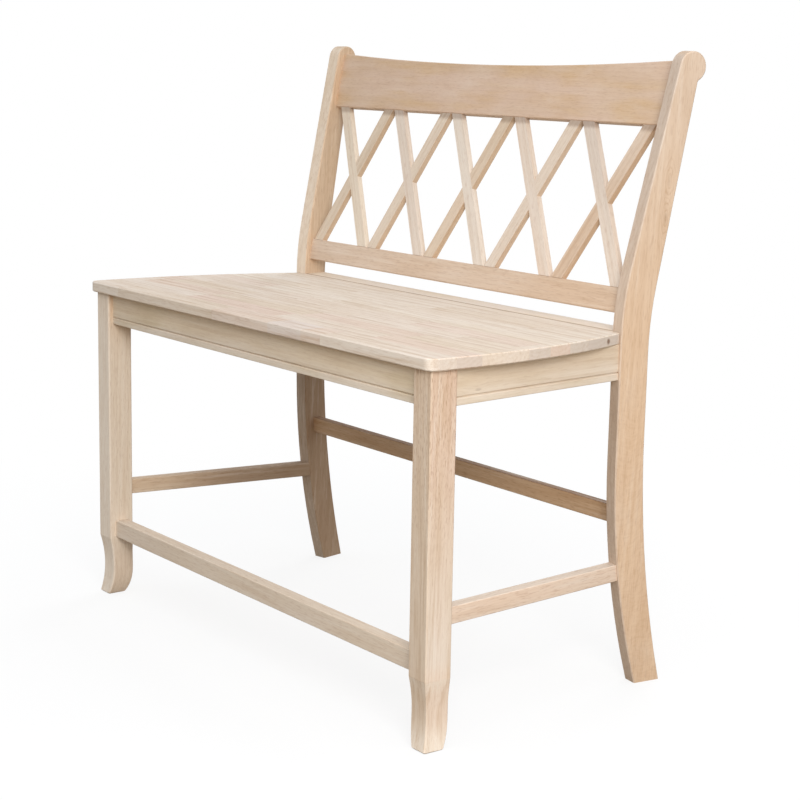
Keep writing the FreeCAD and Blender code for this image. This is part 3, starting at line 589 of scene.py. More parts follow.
@dataclass(frozen=True)
class BareWood:
    """Bare, sanded hardwood of one piece, with amounts from 0, none, to 1, strong."""

    tone: Tone = Tone.SAND
    drift: Tone = Tone.PEACH
    drift_amount: float = 0.5
    streaks: float = 0.5
    rings: float = 0.3
    flecks: float = 0.4
    fleck_size: float = 1.0
    mottle: float = 0.0
    blotches: float = 0.0
    blotch_tone: Tone = Tone.OLIVE
    ripple: float = 0.0
    pore_levels: Span | None = None
    patches: tuple[Patch, ...] = ()
    end_tone: Tone = Tone.TAN
    end_amount: float = 0.45
    # Where the edge with a painted shadow line lies, in metres across the grain from the piece's middle.
    gap_shadow_line: float | None = None
    seed: float = 0.0
    knots: tuple[Knot, ...] = ()
    segments: Segments | None = None

    # What the figure is drawn with.
    WARP = Pattern(1.7, 9.0)
    DRIFT = Pattern(2.6, 17.0, detail=3.0, dark=(0.36, 0.66))
    STREAK = Pattern(5.0, 150.0, detail=4.0, rough=0.62, dark=(0.44, 0.72), pale=(0.28, 0.47), pale_share=0.6)
    FIBRE = Pattern(26.0, 950.0, dark=(0.45, 0.75))
    PORE = Pattern(56.0, 560.0, detail=1.0, dark=(0.53, 0.7))
    BLOTCH = Pattern(6.5, 36.0, detail=3.0, dark=(0.44, 0.72))
    CLOUD = Pattern(11.0, 26.0, detail=3.0, rough=0.6, dark=(0.45, 0.75), pale=(0.25, 0.5), pale_share=0.7)
    WAVE = Pattern(260.0, 90.0, detail=3.0, dark=(0.4, 0.7))
    WAVE_WARP = 30.0
    WAVE_LEVELS = (0.42, 0.62)
    PORES_LEFT = 0.25

    # The year rings, in metres: their pitch, how far they wander, and how far the pith lies from the
    # piece's middle, as the mean, the reach and the pace of a wave over the seeds.
    RING_PITCH = 0.0075
    RING_WARP = 0.045
    PITH_ACROSS = (0.03, 0.05, 7.3)
    PITH_DEPTH = (0.05, 0.03, 5.1)

    # How each shows in the colour.
    RING_AMOUNT = 0.5
    FIBRE_AMOUNT = 0.25
    PORE_AMOUNT = 0.7
    END_RING_AMOUNT = 0.22
    END_SPAN = (0.72, 0.95)
    # The painted shadow line along a gap: how dark it is, and how far inside the edge it starts and is full.
    GAP_SHADOW_AMOUNT = 0.85
    GAP_SHADOW_INSET = (0.007, 0.003)

    # The surface, with its relief in shares of the bump's distance in metres.
    SMOOTHEST = 0.56
    STREAK_ROUGHNESS = 0.12
    PORE_ROUGHNESS = 0.08
    SPECULAR = 0.3
    STREAK_HEIGHT = 0.5
    FIBRE_HEIGHT = 0.3
    PORE_DEPTH = 0.4
    BUMP_STRENGTH = 0.18
    BUMP_DISTANCE = 0.0006

    def material(self, name: str, grain: GrainFrame) -> Material:
        """Make the material of one piece.

        Args:
            name: The material's name.
            grain: The piece's frame.

        Returns:
            The material.
        """
        tree = ShaderTree.of_material(name)
        figure = self.figure(Board.of(tree, grain))
        streak, fibre, fleck = figure.streak, figure.fibre, figure.fleck
        height = streak * self.STREAK_HEIGHT + fibre * self.FIBRE_HEIGHT - fleck * self.PORE_DEPTH
        bump = tree.node("ShaderNodeBump", {}, {
            "Strength": self.BUMP_STRENGTH, "Distance": self.BUMP_DISTANCE, "Height": height})
        shader = tree.node("ShaderNodeBsdfPrincipled", {}, {
            "Base Color": self.finished(figure, self.grained(figure, self.toned(figure))),
            "Roughness": streak * self.STREAK_ROUGHNESS + fleck * self.PORE_ROUGHNESS + self.SMOOTHEST,
            "Specular IOR Level": self.SPECULAR,
            "Normal": bump,
        })
        return tree.surface(shader)

    def figure(self, board: Board) -> Figure:
        """Draw the figure, with streaks, fibres and pores that swerve round the knots.

        Args:
            board: The shaded point.

        Returns:
            The figure.
        """
        lengths = self.segments.split(board) if self.segments else None
        shift = lengths.jump + self.seed if lengths else self.seed
        marks = [knot.marks(board) for knot in self.knots]
        swerved = replace(board, across=board.across + sum((mark.swerve for mark in marks), 0.0))
        warp = self.WARP.sample(board, shift) - 0.5
        mean, reach, pace = self.PITH_ACROSS
        across = swerved.across - (mean + reach * math.sin(self.seed * pace))
        mean, reach, pace = self.PITH_DEPTH
        depth = board.depth - (mean + reach * math.cos(self.seed * pace))
        radius = (across ** 2.0 + depth ** 2.0).math("SQRT")
        waves = ((radius + warp * self.RING_WARP) * (2 * math.pi / self.RING_PITCH)).math("SINE")
        pores = replace(self.PORE, along=self.PORE.along / self.fleck_size,
                        across=self.PORE.across / self.fleck_size)
        fleck = pores.sample(swerved, shift).ramp(*pores.dark)
        if self.pore_levels:
            rise = board.level(Facing.UP).ramp(*self.pore_levels)
            fleck = fleck * (rise * (1.0 - self.PORES_LEFT) + self.PORES_LEFT)
        return Figure(board, lengths, marks, shift, warp, rings=waves * 0.5 + 0.5,
                      drift=self.DRIFT.sample(board, shift, through=shift),
                      streak=self.STREAK.sample(swerved, shift),
                      fibre=self.FIBRE.sample(swerved, shift), fleck=fleck)

    def toned(self, figure: Figure) -> Channel:
        """Lay the wood's tones: its drift, its patches, among them painted light and shade, its lengths and
        its blotches.

        Args:
            figure: The figure.

        Returns:
            The colour.
        """
        board, tree = figure.board, figure.board.tree
        colour = tree.mix(figure.drift.ramp(*self.DRIFT.dark) * self.drift_amount,
                          self.tone.value, self.drift.value)
        for patch in self.patches:
            colour = tree.tint(patch.mask(board) * patch.amount, colour, patch.tone)
        if figure.lengths:
            rosy = figure.lengths.chance.ramp(*Segments.ROSY_CHANCE)
            sandy = 1.0 - figure.lengths.chance.ramp(*Segments.SANDY_CHANCE)
            colour = tree.tint(rosy * Segments.TINT_AMOUNT, colour, Tone.ROSE)
            colour = tree.tint(sandy * Segments.TINT_AMOUNT, colour, Tone.SAND)
        if self.blotches:
            blotch = self.BLOTCH.sample(board, self.seed).ramp(*self.BLOTCH.dark)
            colour = tree.tint(blotch * self.blotches, colour, self.blotch_tone)
        return colour

    def grained(self, figure: Figure, colour: Channel) -> Channel:
        """Let the figure show: mottle, rings, streaks, fibres, ripple and pores.

        Args:
            figure: The figure.
            colour: The colour before.

        Returns:
            The colour with the figure.
        """
        board, tree = figure.board, figure.board.tree
        if self.mottle:
            colour = self.CLOUD.shade(tree, colour, self.CLOUD.sample(board, figure.shift), self.mottle)
        colour = tree.stain(figure.rings ** 2.0 * (self.RING_AMOUNT * self.rings), colour, Stain.LATEWOOD)
        colour = self.STREAK.shade(tree, colour, figure.streak, self.streaks)
        colour = self.FIBRE.shade(tree, colour, figure.fibre, self.FIBRE_AMOUNT)
        if self.ripple:
            wave = self.WAVE.sample(board, figure.warp * self.WAVE_WARP)
            low = 1.0 - board.level(Facing.UP).ramp(*self.WAVE_LEVELS)
            colour = self.WAVE.shade(tree, colour, wave, low * self.ripple)
        return tree.stain(figure.fleck * (self.PORE_AMOUNT * self.flecks), colour, Stain.PORES)

    def finished(self, figure: Figure, colour: Channel) -> Channel:
        """Add what lies over the figure: joints, end grain, the painted shadow line in the gap along an edge,
        and knots.

        Args:
            figure: The figure.
            colour: The colour before.

        Returns:
            The colour with all of these.
        """
        board, tree = figure.board, figure.board.tree
        if figure.lengths:
            colour = tree.stain(figure.lengths.joint * Segments.JOINT_AMOUNT, colour, Stain.LATEWOOD)
        end_on = board.squareness(board.grain.along).math("ABSOLUTE").ramp(*self.END_SPAN)
        colour = tree.tint(end_on * self.end_amount, colour, self.end_tone)
        ring_amount = self.END_RING_AMOUNT * self.end_amount
        colour = tree.stain(end_on * figure.rings * ring_amount, colour, Stain.LATEWOOD)
        # A painted shadow line where the piece meets a gap along one edge.
        if self.gap_shadow_line is not None:
            start, full = (self.gap_shadow_line - inset for inset in self.GAP_SHADOW_INSET)
            gap_shadow = (board.across * -1.0).ramp(start, full)
            colour = tree.stain(gap_shadow * self.GAP_SHADOW_AMOUNT, colour, Stain.GAP_SHADOW)
        for knot, mark in zip(self.knots, figure.marks):
            colour = tree.stain(mark.eye * knot.eye, colour, Stain.LATEWOOD)
            colour = tree.tint(mark.spot * knot.darkness, colour, Tone.UMBER)
        return colour


@dataclass(frozen=True)
class ZincSteel:
    """Zinc-plated steel of bolts and screws, with scales in swings per metre."""

    colour: Colour = linear(178, 178, 174)
    worn: Colour = linear(150, 146, 136)
    wear: float = 0.4
    wear_span: Span = (0.35, 0.7)
    wear_scale: Point = (260.0, 260.0, 260.0)
    wear_detail: float = 3.0
    smoothest: float = 0.27
    brushing: float = 0.15
    brush_scale: Point = (2400.0, 2400.0, 500.0)
    brush_detail: float = 2.0

    def material(self, name: str) -> Material:
        """Make the material.

        Args:
            name: The material's name.

        Returns:
            The material.
        """
        tree = ShaderTree.of_material(name)
        place = tree.channel(tree.node("ShaderNodeTexCoord"), "Object")
        parts = tree.node("ShaderNodeSeparateXYZ", {}, {0: place})
        axes = [tree.channel(parts, index) for index in range(3)]
        worn, brushed = (
            tree.noise(tree.vector(*(axis * scale for axis, scale in zip(axes, scales))), detail)
            for scales, detail in ((self.wear_scale, self.wear_detail),
                                   (self.brush_scale, self.brush_detail)))
        shader = tree.node("ShaderNodeBsdfPrincipled", {}, {
            "Base Color": tree.mix(worn.ramp(*self.wear_span) * self.wear, self.colour, self.worn),
            "Metallic": 1.0,
            "Roughness": brushed * self.brushing + self.smoothest,
        })
        return tree.surface(shader)


class Assembly:
    """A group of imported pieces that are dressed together."""

    def dress_piece(self, name: str, wood: BareWood, along: Vector | None = None) -> None:
        """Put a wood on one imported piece.

        Args:
            name: The piece's node.
            wood: The finish.
            along: The grain's direction, if it isn't the piece's longest one.
        """
        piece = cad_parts[name]
        material = wood.material(f"{name}_wood", GrainFrame.of(piece, along))
        for slot in piece.material_slots:
            slot.material = material
        log.info("dressed %s in %s", name, wood.tone.name.lower())

    def dress(self) -> None:
        """Dress every piece of the group."""
        raise NotImplementedError


@dataclass
class FrontLegs(Assembly):
    """The two square legs with flared feet."""

    right: BareWood = BareWood(
        Tone.CLAY, Tone.ROSE, streaks=0.75, rings=0.2, flecks=0.95, fleck_size=0.6, seed=1.3,
        pore_levels=(0.2, 0.52),
        # Painted light and shade: the pale band at the ankle and the paler sole, where light from the floor
        # falls, and the darker front face. The leg also grows paler towards the floor.
        patches=(Fade(Tone.IVORY, 0.75, start=0.56, end=0.08), Fade(Tone.BLUSH, 0.6, start=0.15, end=0.11),
                 PaintedLightFace(Tone.SAND, 0.75, Facing.FRONT), PaintedLightFace(Tone.CLAY, 0.2, Facing.FRONT),
                 Band(Tone.MILK, 0.5, start=0.085, end=0.1125, way=Facing.UP, soft=0.026),
                 Fade(Tone.MILK, 0.9, start=0.06, end=0.0)))
    left: BareWood = BareWood(
        Tone.CREAM, Tone.LINEN, streaks=0.45, flecks=0.35, fleck_size=0.8, seed=2.1,
        # The tones of the right and front faces, and the darkening at the top under the apron, are painted
        # light and shade.
        patches=(PaintedLightFace(Tone.STRAW, 0.4, Facing.RIGHT),
                 Fade(Tone.TAN, 0.55, start=-0.47, end=-0.58, way=Facing.DOWN),
                 Fade(Tone.CLAY, 0.4, start=0.13, end=0.05), PaintedLightFace(Tone.MILK, 0.9, Facing.FRONT)))

    def dress(self) -> None:
        """Dress both legs."""
        self.dress_piece("front_leg_right", self.right)
        self.dress_piece("front_leg_left", self.left)


@dataclass
class RearPosts(Assembly):
    """The two posts that run from the rear feet to the scrolled tops."""

    right: BareWood = BareWood(
        Tone.PEACH, Tone.CLAY, drift_amount=0.3, streaks=0.3, rings=0.4, flecks=0.35, mottle=0.2,
        ripple=0.25, seed=3.4,
        patches=(Fade(Tone.ASH, 0.4, start=-0.55, end=-1.0, way=Facing.DOWN),
                 # The greyer front face is painted light.
                 PaintedLightFace(Tone.ASH, 0.5, Facing.FRONT)),
        knots=(Knot((0.5019, 0.2253, 0.8403), radius=0.0040, darkness=0.1, eye=0.45),
               Knot((0.5006, 0.2194, 0.7811), radius=0.0040, darkness=0.2, eye=0.45)))
    left: BareWood = BareWood(
        Tone.LINEN, Tone.SAND, streaks=0.45, seed=4.2,
        # Painted shade: the browner inner side, and the painted shadow that darkens the post below the seat.
        patches=(PaintedLightFace(Tone.TAN, 0.65, Facing.RIGHT), Fade(Tone.UMBER, 0.45, start=0.62, end=0.42)))
    grain: Point = (0.03, 0.08, 1.0)

    def dress(self) -> None:
        """Dress both posts, with the grain of the straight board that each is sawn from."""
        self.dress_piece("rear_post_right", self.right, Vector(self.grain))
        self.dress_piece("rear_post_left", self.left, Vector(self.grain))


@dataclass
class Aprons(Assembly):
    """The boards that carry the seat and the blocks in their corners."""

    front: BareWood = BareWood(
        Tone.STRAW, Tone.SAND, streaks=0.4, flecks=0.2, mottle=0.2, blotches=0.4, seed=5.5,
        patches=(Fade(Tone.IVORY, 0.75, start=0.565, end=0.535),))
    side: BareWood = BareWood(
        Tone.SAND, Tone.STRAW, streaks=0.35, flecks=0.2, mottle=0.25, blotches=0.3, seed=6.1,
        patches=(Fade(Tone.IVORY, 0.5, start=0.565, end=0.535),),
        knots=(Knot((0.5223, -0.1792, 0.551), radius=0.0028, darkness=0.25),))
    hidden: BareWood = BareWood(Tone.CLAY, Tone.TAN, rings=0.4, seed=6.7)
    block: BareWood = BareWood(Tone.TAN, Tone.CLAY, streaks=0.7, rings=0.5, flecks=0.5, seed=7.2)

    def dress(self) -> None:
        """Dress aprons and blocks."""
        self.dress_piece("front_apron", self.front)
        self.dress_piece("side_apron_right", self.side)
        self.dress_piece("side_apron_left", self.hidden)
        self.dress_piece("rear_apron", self.hidden)
        for end, side, slant in (("front", "right", 1.0), ("front", "left", -1.0),
                                 ("rear", "right", -1.0), ("rear", "left", 1.0)):
            self.dress_piece(f"corner_block_{end}_{side}", self.block, Vector((1.0, slant, 0.0)))


@dataclass
class Stretchers(Assembly):
    """The bars that tie the legs near the floor."""

    front: BareWood = BareWood(Tone.LINEN, Tone.CREAM, streaks=0.45, flecks=0.35, seed=8.3)
    side: BareWood = BareWood(Tone.BLUSH, Tone.CREAM, drift_amount=0.4, streaks=0.45, flecks=0.5, seed=9.1,
                              # The paler top is painted light.
                              patches=(PaintedLightFace(Tone.IVORY, 0.6, Facing.UP),))
    far: BareWood = BareWood(Tone.SAND, Tone.TAN, rings=0.4, flecks=0.5, seed=9.5,
                             # Painted shadow: darker towards the rear, where shade falls.
                             patches=(Fade(Tone.UMBER, 0.5, start=0.24, end=0.0, way=Facing.FRONT),))
    rear: BareWood = BareWood(Tone.TAN, Tone.CLAY, drift_amount=0.1, streaks=0.55, rings=0.5, flecks=0.5,
                              # The dark top is painted shadow.
                              seed=9.9, patches=(PaintedLightFace(Tone.UMBER, 0.7, Facing.UP),))

    def dress(self) -> None:
        """Dress all four bars."""
        self.dress_piece("front_stretcher", self.front)
        self.dress_piece("side_stretcher_right", self.side)
        self.dress_piece("side_stretcher_left", self.far)
        self.dress_piece("rear_stretcher", self.rear)


@dataclass
class Seat(Assembly):
    """The seat of edge-glued, finger-jointed staves and the strip behind it."""

    wood: BareWood = BareWood(drift=Tone.SAND, drift_amount=0.4, streaks=0.9, flecks=0.3)
    tones: tuple[Tone, ...] = (Tone.CREAM,) * 5 + (Tone.IVORY,) * 4
    ends: tuple[tuple[Tone, float], ...] = (
        (Tone.ASH, 0.4), (Tone.ASH, 0.75), (Tone.CREAM, 0.5), (Tone.CREAM, 0.5), (Tone.ASH, 0.65),
        (Tone.ROSE, 0.6), (Tone.ASH, 0.65), (Tone.ASH, 0.9), (Tone.ASH, 0.75))
    seed_start: float = 11.0
    seed_step: float = 1.7
    segment_length: float = 0.30
    segment_start: float = 3.1
    segment_step: float = 0.83
    # The paler front face of the seat is painted light.
    painted_front_light: PaintedLightFace = PaintedLightFace(Tone.IVORY, 0.75, Facing.FRONT)
    pale_length: Band = Band(Tone.CHALK, 0.75, start=0.097, end=0.197)
    end_knot: Knot = Knot((0.4926, 0.1078, 0.5907), radius=0.0065, darkness=0.8)
    # Its front edge gets a painted shadow line for the gap to the seat.
    filler: BareWood = BareWood(Tone.IVORY, Tone.STRAW, drift_amount=0.7, streaks=0.3, flecks=0.3,
                                gap_shadow_line=0.0247, seed=10.4)

    def stave(self, number: int) -> BareWood:
        """Choose the wood of one stave.

        Args:
            number: The stave's number, counted from 1 at the front.

        Returns:
            The wood.
        """
        first, last = number == 1, number == len(self.tones)
        end_tone, end_amount = self.ends[number - 1]
        return replace(
            self.wood, tone=self.tones[number - 1], end_tone=end_tone, end_amount=end_amount,
            patches=(self.painted_front_light, self.pale_length) if first else (self.painted_front_light,),
            knots=(self.end_knot,) if last else (), seed=self.seed_start + self.seed_step * number,
            segments=Segments(self.segment_length, self.segment_start + self.segment_step * number))

    def dress(self) -> None:
        """Dress the staves and the strip."""
        for number in range(1, len(self.tones) + 1):
            self.dress_piece(f"seat_stave_{number}", self.stave(number))
        self.dress_piece("seat_back_filler", self.filler)


@dataclass(frozen=True)
class SlatWay:
    """The slats that run one way: each one's tone and drift, how strongly painted shade darkens their right
    sides, and their seed.
    """

    name: str
    tones: tuple[tuple[Tone, Tone], ...]
    painted_side_shade: float
    seed: float


@dataclass
class Back(Assembly):
    """The two rails of the back and the crossed slats between them."""

    crest: BareWood = BareWood(
        Tone.CLAY, Tone.ROSE, streaks=0.18, rings=0.15, flecks=0.3, fleck_size=0.7, mottle=0.25,
        blotches=0.55, blotch_tone=Tone.HONEY, seed=30.2)
    lower: BareWood = BareWood(Tone.CLAY, Tone.CREAM, drift_amount=0.4, streaks=0.45, seed=31.6)
    slat: BareWood = BareWood(streaks=0.45, rings=0.25, flecks=0.35, fleck_size=0.7)
    ways: tuple[SlatWay, ...] = (
        SlatWay("falling", ((Tone.IVORY, Tone.STRAW), (Tone.CREAM, Tone.IVORY), (Tone.IVORY, Tone.CREAM),
                            (Tone.CREAM, Tone.BLUSH), (Tone.CREAM, Tone.ASH)), painted_side_shade=0.1, seed=41.1),
        SlatWay("rising", ((Tone.SAND, Tone.LINEN), (Tone.LINEN, Tone.CREAM), (Tone.SAND, Tone.BLUSH),
                           (Tone.CREAM, Tone.LINEN), (Tone.CLAY, Tone.CREAM)), painted_side_shade=0.55, seed=40.0))
    seed_step: float = 2.3
    # The slats' tops get a painted shadow just under the crest.
    painted_crest_shadow: Fade = Fade(Tone.UMBER, 0.45, start=-0.914, end=-0.922, way=Facing.DOWN)

    def dress(self) -> None:
        """Dress rails and slats."""
        self.dress_piece("crest_rail", self.crest)
        self.dress_piece("lower_back_rail", self.lower)
        for way in self.ways:
            # The right sides of the slats get painted shade, and their tops the painted shadow under the
            # crest.
            patches = (PaintedLightFace(Tone.TAN, way.painted_side_shade, Facing.RIGHT), self.painted_crest_shadow)
            for number, (tone, drift) in enumerate(way.tones, 1):
                wood = replace(self.slat, tone=tone, drift=drift, seed=way.seed + self.seed_step * number,
                               patches=patches)
                self.dress_piece(f"back_slat_{number}_{way.name}", wood)


@dataclass(frozen=True)
class FastenerKind:
    """The form of one kind of bolt or screw, in metres; a drive span of 0 leaves out the cross recess."""

    node: str
    head_radius: float
    head_height: float
    head_sides: int
    shank_radius: float
    drive_span: float = 0.0


class FastenerTree(NodeTree):
    """Geometry nodes that set a headed fastener on every point, along the point's axis."""

    SIZES = ("Head Radius", "Crown Radius", "Head Height", "Shank Radius", "Shank Length", "Drive Span")
    INPUTS = {"Geometry": "Geometry", **dict.fromkeys(SIZES, "Float"), "Head Sides": "Int",
              "Has Drive": "Bool", "Finish": "Material"}

    # Shares of the head's height. The bars that cut the recess are half sunk into the head.
    BASE_HEIGHT = 0.62
    CROWN_HEIGHT = 0.4
    BAR_HEIGHT = 1.1
    # Shares of the crown's radius.
    CROWN_TOP = 0.66
    CROWN_FOOT = 0.97
    # Share of the drive's span.
    BAR_WIDTH = 0.28
    CROWN_SIDES = 32
    SHANK_SIDES = 20

    def __init__(self) -> None:
        """Build the tree."""
        super().__init__(bpy.data.node_groups.new("fastener", "GeometryNodeTree"))
        for name, kind in self.INPUTS.items():
            self.tree.interface.new_socket(name, in_out="INPUT", socket_type=f"NodeSocket{kind}")
        self.tree.interface.new_socket("Geometry", in_out="OUTPUT", socket_type="NodeSocketGeometry")
        source = self.node("NodeGroupInput")
        given = {name: self.channel(source, name) for name in self.INPUTS}
        shank = self.node("GeometryNodeMeshCylinder", {}, {
            "Vertices": self.SHANK_SIDES, "Radius": given["Shank Radius"], "Depth": given["Shank Length"]})
        whole = self.node("GeometryNodeJoinGeometry", {}, {
            "Geometry": [self.head(given), self.raised(shank, given["Shank Length"] * -0.5)]})
        axis = self.node("GeometryNodeInputNamedAttribute", {"data_type": "FLOAT_VECTOR"}, {"Name": "axis"})
        turned = self.node("FunctionNodeAlignRotationToVector", {"axis": "Z"}, {"Vector": axis})
        placed = self.node("GeometryNodeInstanceOnPoints", {}, {
            "Points": given["Geometry"], "Instance": whole, "Rotation": turned})
        real = self.node("GeometryNodeRealizeInstances", {}, {"Geometry": placed})
        painted = self.node("GeometryNodeSetMaterial", {}, {"Geometry": real, "Material": given["Finish"]})
        self.node("NodeGroupOutput", {}, {"Geometry": painted})

    def head(self, given: dict[str, Channel]) -> Node:
        """Make the head on the origin, where a cylinder comes centred and a cone stands on its foot.

        Args:
            given: The tree's inputs by name.

        Returns:
            The mesh.
        """
        height, span = given["Head Height"], given["Drive Span"]
        base = self.node("GeometryNodeMeshCylinder", {}, {
            "Vertices": given["Head Sides"], "Radius": given["Head Radius"],
            "Depth": height * self.BASE_HEIGHT})
        crown = self.node("GeometryNodeMeshCone", {}, {
            "Vertices": self.CROWN_SIDES, "Radius Top": given["Crown Radius"] * self.CROWN_TOP,
            "Radius Bottom": given["Crown Radius"] * self.CROWN_FOOT, "Depth": height * self.CROWN_HEIGHT})
        head = self.union([self.raised(base, height * (self.BASE_HEIGHT / 2)),
                           self.raised(crown, height * (1.0 - self.CROWN_HEIGHT))])
        width = span * self.BAR_WIDTH
        bars = [self.node("GeometryNodeMeshCube", {}, {"Size": self.vector(x, y, height * self.BAR_HEIGHT)})
                for x, y in ((span, width), (width, span))]
        driven = self.cut(head, self.union([self.raised(bar, height) for bar in bars]))
        return self.node("GeometryNodeSwitch", {"input_type": "GEOMETRY"}, {
            "Switch": given["Has Drive"], "False": head, "True": driven})

    def union(self, meshes: list[Node]) -> Node:
        """Join meshes into one."""
        return self.node("GeometryNodeMeshBoolean", {"operation": "UNION", "solver": "EXACT"},
                         {"Mesh 2": meshes})

    def cut(self, mesh: Node, tool: Node) -> Node:
        """Cut a tool out of a mesh."""
        return self.node("GeometryNodeMeshBoolean", {"operation": "DIFFERENCE", "solver": "EXACT"},
                         {"Mesh 1": mesh, "Mesh 2": tool})

    def raised(self, mesh: Node, height: Channel) -> Node:
        """Lift a mesh along its axis."""
        return self.node("GeometryNodeTransform", {}, {
            "Geometry": mesh, "Translation": self.vector(0.0, 0.0, height)})

    def grow(self, points: Object, values: dict[str, Any]) -> Mesh:
        """Run the tree on points and return the plain mesh.

        Args:
            points: The object whose vertices carry the fasteners.
            values: The tree's inputs by name.

        Returns:
            The mesh.
        """
        modifier = points.modifiers.new("fastener", "NODES")
        modifier.node_group = self.tree
        for item in self.tree.interface.items_tree:
            if item.in_out == "INPUT" and item.name in values:
                modifier[item.identifier] = values[item.name]
        bpy.context.view_layer.update()
        graph = bpy.context.evaluated_depsgraph_get()
        mesh = bpy.data.meshes.new_from_object(points.evaluated_get(graph), depsgraph=graph)
        points.modifiers.remove(modifier)
        return mesh


@dataclass
class Fasteners:
    """The bolts and screws in the corner blocks."""

    kinds: tuple[FastenerKind, ...] = (
        FastenerKind("leg_bolts", head_radius=0.0056, head_height=0.0040, head_sides=6, shank_radius=0.0030),
        FastenerKind("seat_screws", head_radius=0.0042, head_height=0.0026, head_sides=32,
                     shank_radius=0.0021, drive_span=0.0046))
    steel: ZincSteel = ZincSteel()
    slot: str = "fastener_steel"

    # A kind that reaches less far from front to back stands in one row, left and right.
    ROW_DEPTH = 0.1
    # How far below the top of a head a point may lie and still be of its top face.
    TOP_DEPTH = 0.0002

    @classmethod
    def seats(cls, kind: FastenerKind) -> tuple[list[Vector], list[Vector], float]:
        """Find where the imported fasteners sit.

        Args:
            kind: The kind to look up.

        Returns:
            The points under their heads, their axes from shank to head, and the shank's length.
        """
        points = mesh_points(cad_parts[kind.node])
        middle = points.mean(0)
        corners = (points[:, 0] > middle[0]) * 2 + (points[:, 1] > middle[1])
        if np.ptp(points[:, 1]) < cls.ROW_DEPTH:
            corners = points[:, 0] > middle[0]
        places, axes, shank = [], [], 0.0
        for corner in np.unique(corners):
            one = points[corners == corner]
            centre = one.mean(0)
            axis = np.linalg.svd(one - centre, full_matrices=False)[2][0]
            level = (one - centre) @ axis
            spread = np.linalg.norm(one - centre - np.outer(level, axis), axis=1)
            if level[spread.argmax()] < 0:
                axis, level = -axis, -level
            top = one[level > level.max() - cls.TOP_DEPTH]
            places.append(Vector((top.min(0) + top.max(0)) / 2 - axis * kind.head_height))
            axes.append(Vector(axis))
            shank = max(shank, float(np.ptp(level)) - kind.head_height)
        return places, axes, shank

    def build(self) -> None:
        """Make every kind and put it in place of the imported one."""
        tree = FastenerTree()
        for kind in self.kinds:
            places, axes, shank = self.seats(kind)
            mesh = bpy.data.meshes.new(f"{kind.node}_points")
            mesh.from_pydata(places, [], [])
            mesh.attributes.new("axis", "FLOAT_VECTOR", "POINT").data.foreach_set(
                "vector", [value for axis in axes for value in axis])
            points = add_object(f"{kind.node}_points", mesh)
            detailed = tree.grow(points, {
                "Head Radius": kind.head_radius, "Head Height": kind.head_height,
                "Crown Radius": kind.head_radius * math.cos(math.pi / kind.head_sides),
                "Head Sides": kind.head_sides, "Shank Radius": kind.shank_radius, "Shank Length": shank,
                "Drive Span": kind.drive_span or kind.head_radius, "Has Drive": kind.drive_span > 0,
                "Finish": self.steel.material(f"{kind.node}_steel")})
            bpy.data.objects.remove(points)
            piece = add_object(f"{kind.node}_detailed", detailed)
            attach(piece, "root")
            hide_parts(kind.node)
            log.info("built %d %s", len(places), kind.node)


@dataclass(frozen=True)
class Lamp:
    """A square soft lamp: where it hangs and its side in metres, its power in watts and its colour."""

    name: str
    place: Point
    side: float
    power: float
    colour: Colour

    def hang(self, aim: Point) -> None:
        """Hang the lamp.

        Args:
            aim: The point that it looks at.
        """
        lamp = bpy.data.lights.new(self.name, "AREA")
        lamp.shape = "SQUARE"
        lamp.size = self.side
        lamp.energy = self.power
        lamp.color = self.colour
        hung = add_object(self.name, lamp)
        hung.location = self.place
        hung.rotation_euler = (Vector(aim) - Vector(self.place)).to_track_quat("-Z", "Y").to_euler()


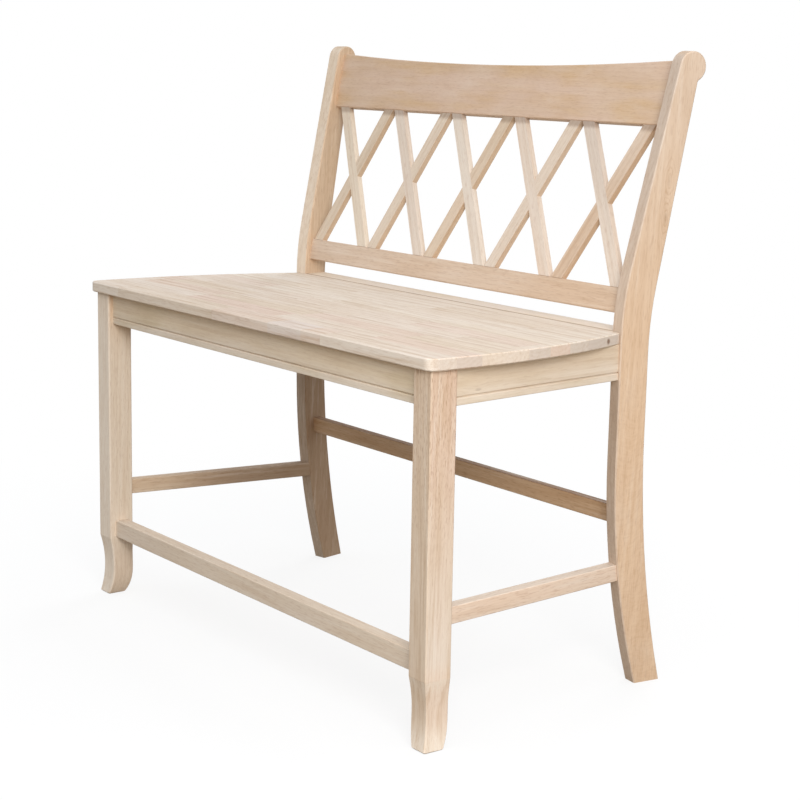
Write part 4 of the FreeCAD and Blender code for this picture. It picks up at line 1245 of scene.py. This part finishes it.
@dataclass
class Studio:
    """Floor, light and camera, in metres and degrees, with the lens and sensor in millimetres."""

    camera_place: Point = (2.7509, -1.9217, 1.0990)
    camera_azimuth: float = 54.377
    camera_elevation: float = 11.27
    camera_roll: float = -0.3975
    lens: float = 86.0
    sensor: float = 36.0
    floor_half: float = 30.0
    floor_seen: Colour = (0.95, 0.95, 0.95)
    floor_bounce: Colour = (0.25, 0.20, 0.14)
    shadow_share: float = 0.2
    shadow_reach: Span = (0.7, 1.7)
    horizon: float = 0.34
    zenith: float = 1.0
    sky: Colour = (0.97, 1.0, 1.04)
    lamps: tuple[Lamp, ...] = (
        Lamp("key", (3.26, -1.68, 1.95), side=1.8, power=103.0, colour=(1.0, 0.98, 0.95)),
        Lamp("fill", (-1.6, 3.2, 1.9), side=2.2, power=38.0, colour=(1.0, 0.99, 0.97)))
    lamp_aim: Point = (0.0, 0.0, 0.5)

    def lay_floor(self) -> None:
        """Lay a pale floor that is white to the eye but keeps the bench's soft shadow."""
        half = self.floor_half
        mesh = bpy.data.meshes.new("floor")
        corners = [(-half, -half, 0), (half, -half, 0), (half, half, 0), (-half, half, 0)]
        mesh.from_pydata(corners, [], [(0, 1, 2, 3)])
        floor = add_object("floor", mesh)
        tree = ShaderTree.of_material("pale_floor")
        place = tree.channel(tree.node("ShaderNodeTexCoord"), "Object")
        length = tree.node("ShaderNodeVectorMath", {"operation": "LENGTH"}, {0: place})
        near = 1.0 - tree.channel(length, "Value").ramp(*self.shadow_reach)
        path = tree.node("ShaderNodeLightPath")
        seen = tree.channel(path, "Is Camera Ray")
        for ray in ("Is Glossy Ray", "Is Transmission Ray"):
            seen = seen.math("MAXIMUM", tree.channel(path, ray))
        pale = tree.node("ShaderNodeBsdfDiffuse", {}, {
            "Color": tree.mix(seen, self.floor_bounce, self.floor_seen)})
        white = tree.node("ShaderNodeEmission", {}, {"Color": (*WHITE, 1.0), "Strength": 1.0})
        mixed = tree.node("ShaderNodeMixShader", {}, {
            0: seen * (1.0 - near * self.shadow_share), 1: pale, 2: white})
        mesh.materials.append(tree.surface(mixed))

    def light_world(self) -> None:
        """Give soft light from above and all round, on a background that the camera sees white."""
        world = bpy.data.worlds.new("studio")
        bpy.context.scene.world = world
        tree = ShaderTree(world)
        direction = tree.channel(tree.node("ShaderNodeTexCoord"), "Generated")
        rise = tree.dot(direction, Vector(Facing.UP.value)).math("MAXIMUM", 0.0)
        seen = tree.channel(tree.node("ShaderNodeLightPath"), "Is Camera Ray")
        light = rise * (self.zenith - self.horizon) + self.horizon
        background = tree.node("ShaderNodeBackground", {}, {
            "Color": tree.mix(seen, self.sky, WHITE), "Strength": light + seen * (1.0 - light)})
        tree.node("ShaderNodeOutputWorld", {}, {"Surface": background})

    def set_camera(self) -> None:
        """Stand the camera where the photograph was taken from."""
        camera = bpy.data.cameras.new("camera")
        camera.sensor_fit = "HORIZONTAL"
        camera.sensor_width = self.sensor
        camera.lens = self.lens
        azimuth, elevation = math.radians(self.camera_azimuth), math.radians(self.camera_elevation)
        back = Vector((math.sin(azimuth) * math.cos(elevation), -math.cos(azimuth) * math.cos(elevation),
                       math.sin(elevation)))
        level = (-back).to_track_quat("-Z", "Y")
        roll = Quaternion((0.0, 0.0, 1.0), math.radians(self.camera_roll))
        stood = add_object("camera", camera)
        stood.location = self.camera_place
        stood.rotation_euler = (level @ roll).to_euler()
        bpy.context.scene.camera = stood

    def build(self) -> None:
        """Set up floor, light and camera."""
        self.lay_floor()
        self.light_world()
        for lamp in self.lamps:
            lamp.hang(self.lamp_aim)
        self.set_camera()
        bpy.context.scene.view_settings.view_transform = "Standard"


def main() -> None:
    """Dress the bench, build its fasteners and light it."""
    logging.basicConfig(level=logging.INFO, format="%(name)s: %(message)s")
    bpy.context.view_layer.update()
    for assembly in (FrontLegs(), RearPosts(), Aprons(), Stretchers(), Seat(), Back()):
        assembly.dress()
    Fasteners().build()
    Studio().build()


if __name__ == "__main__":
    main()
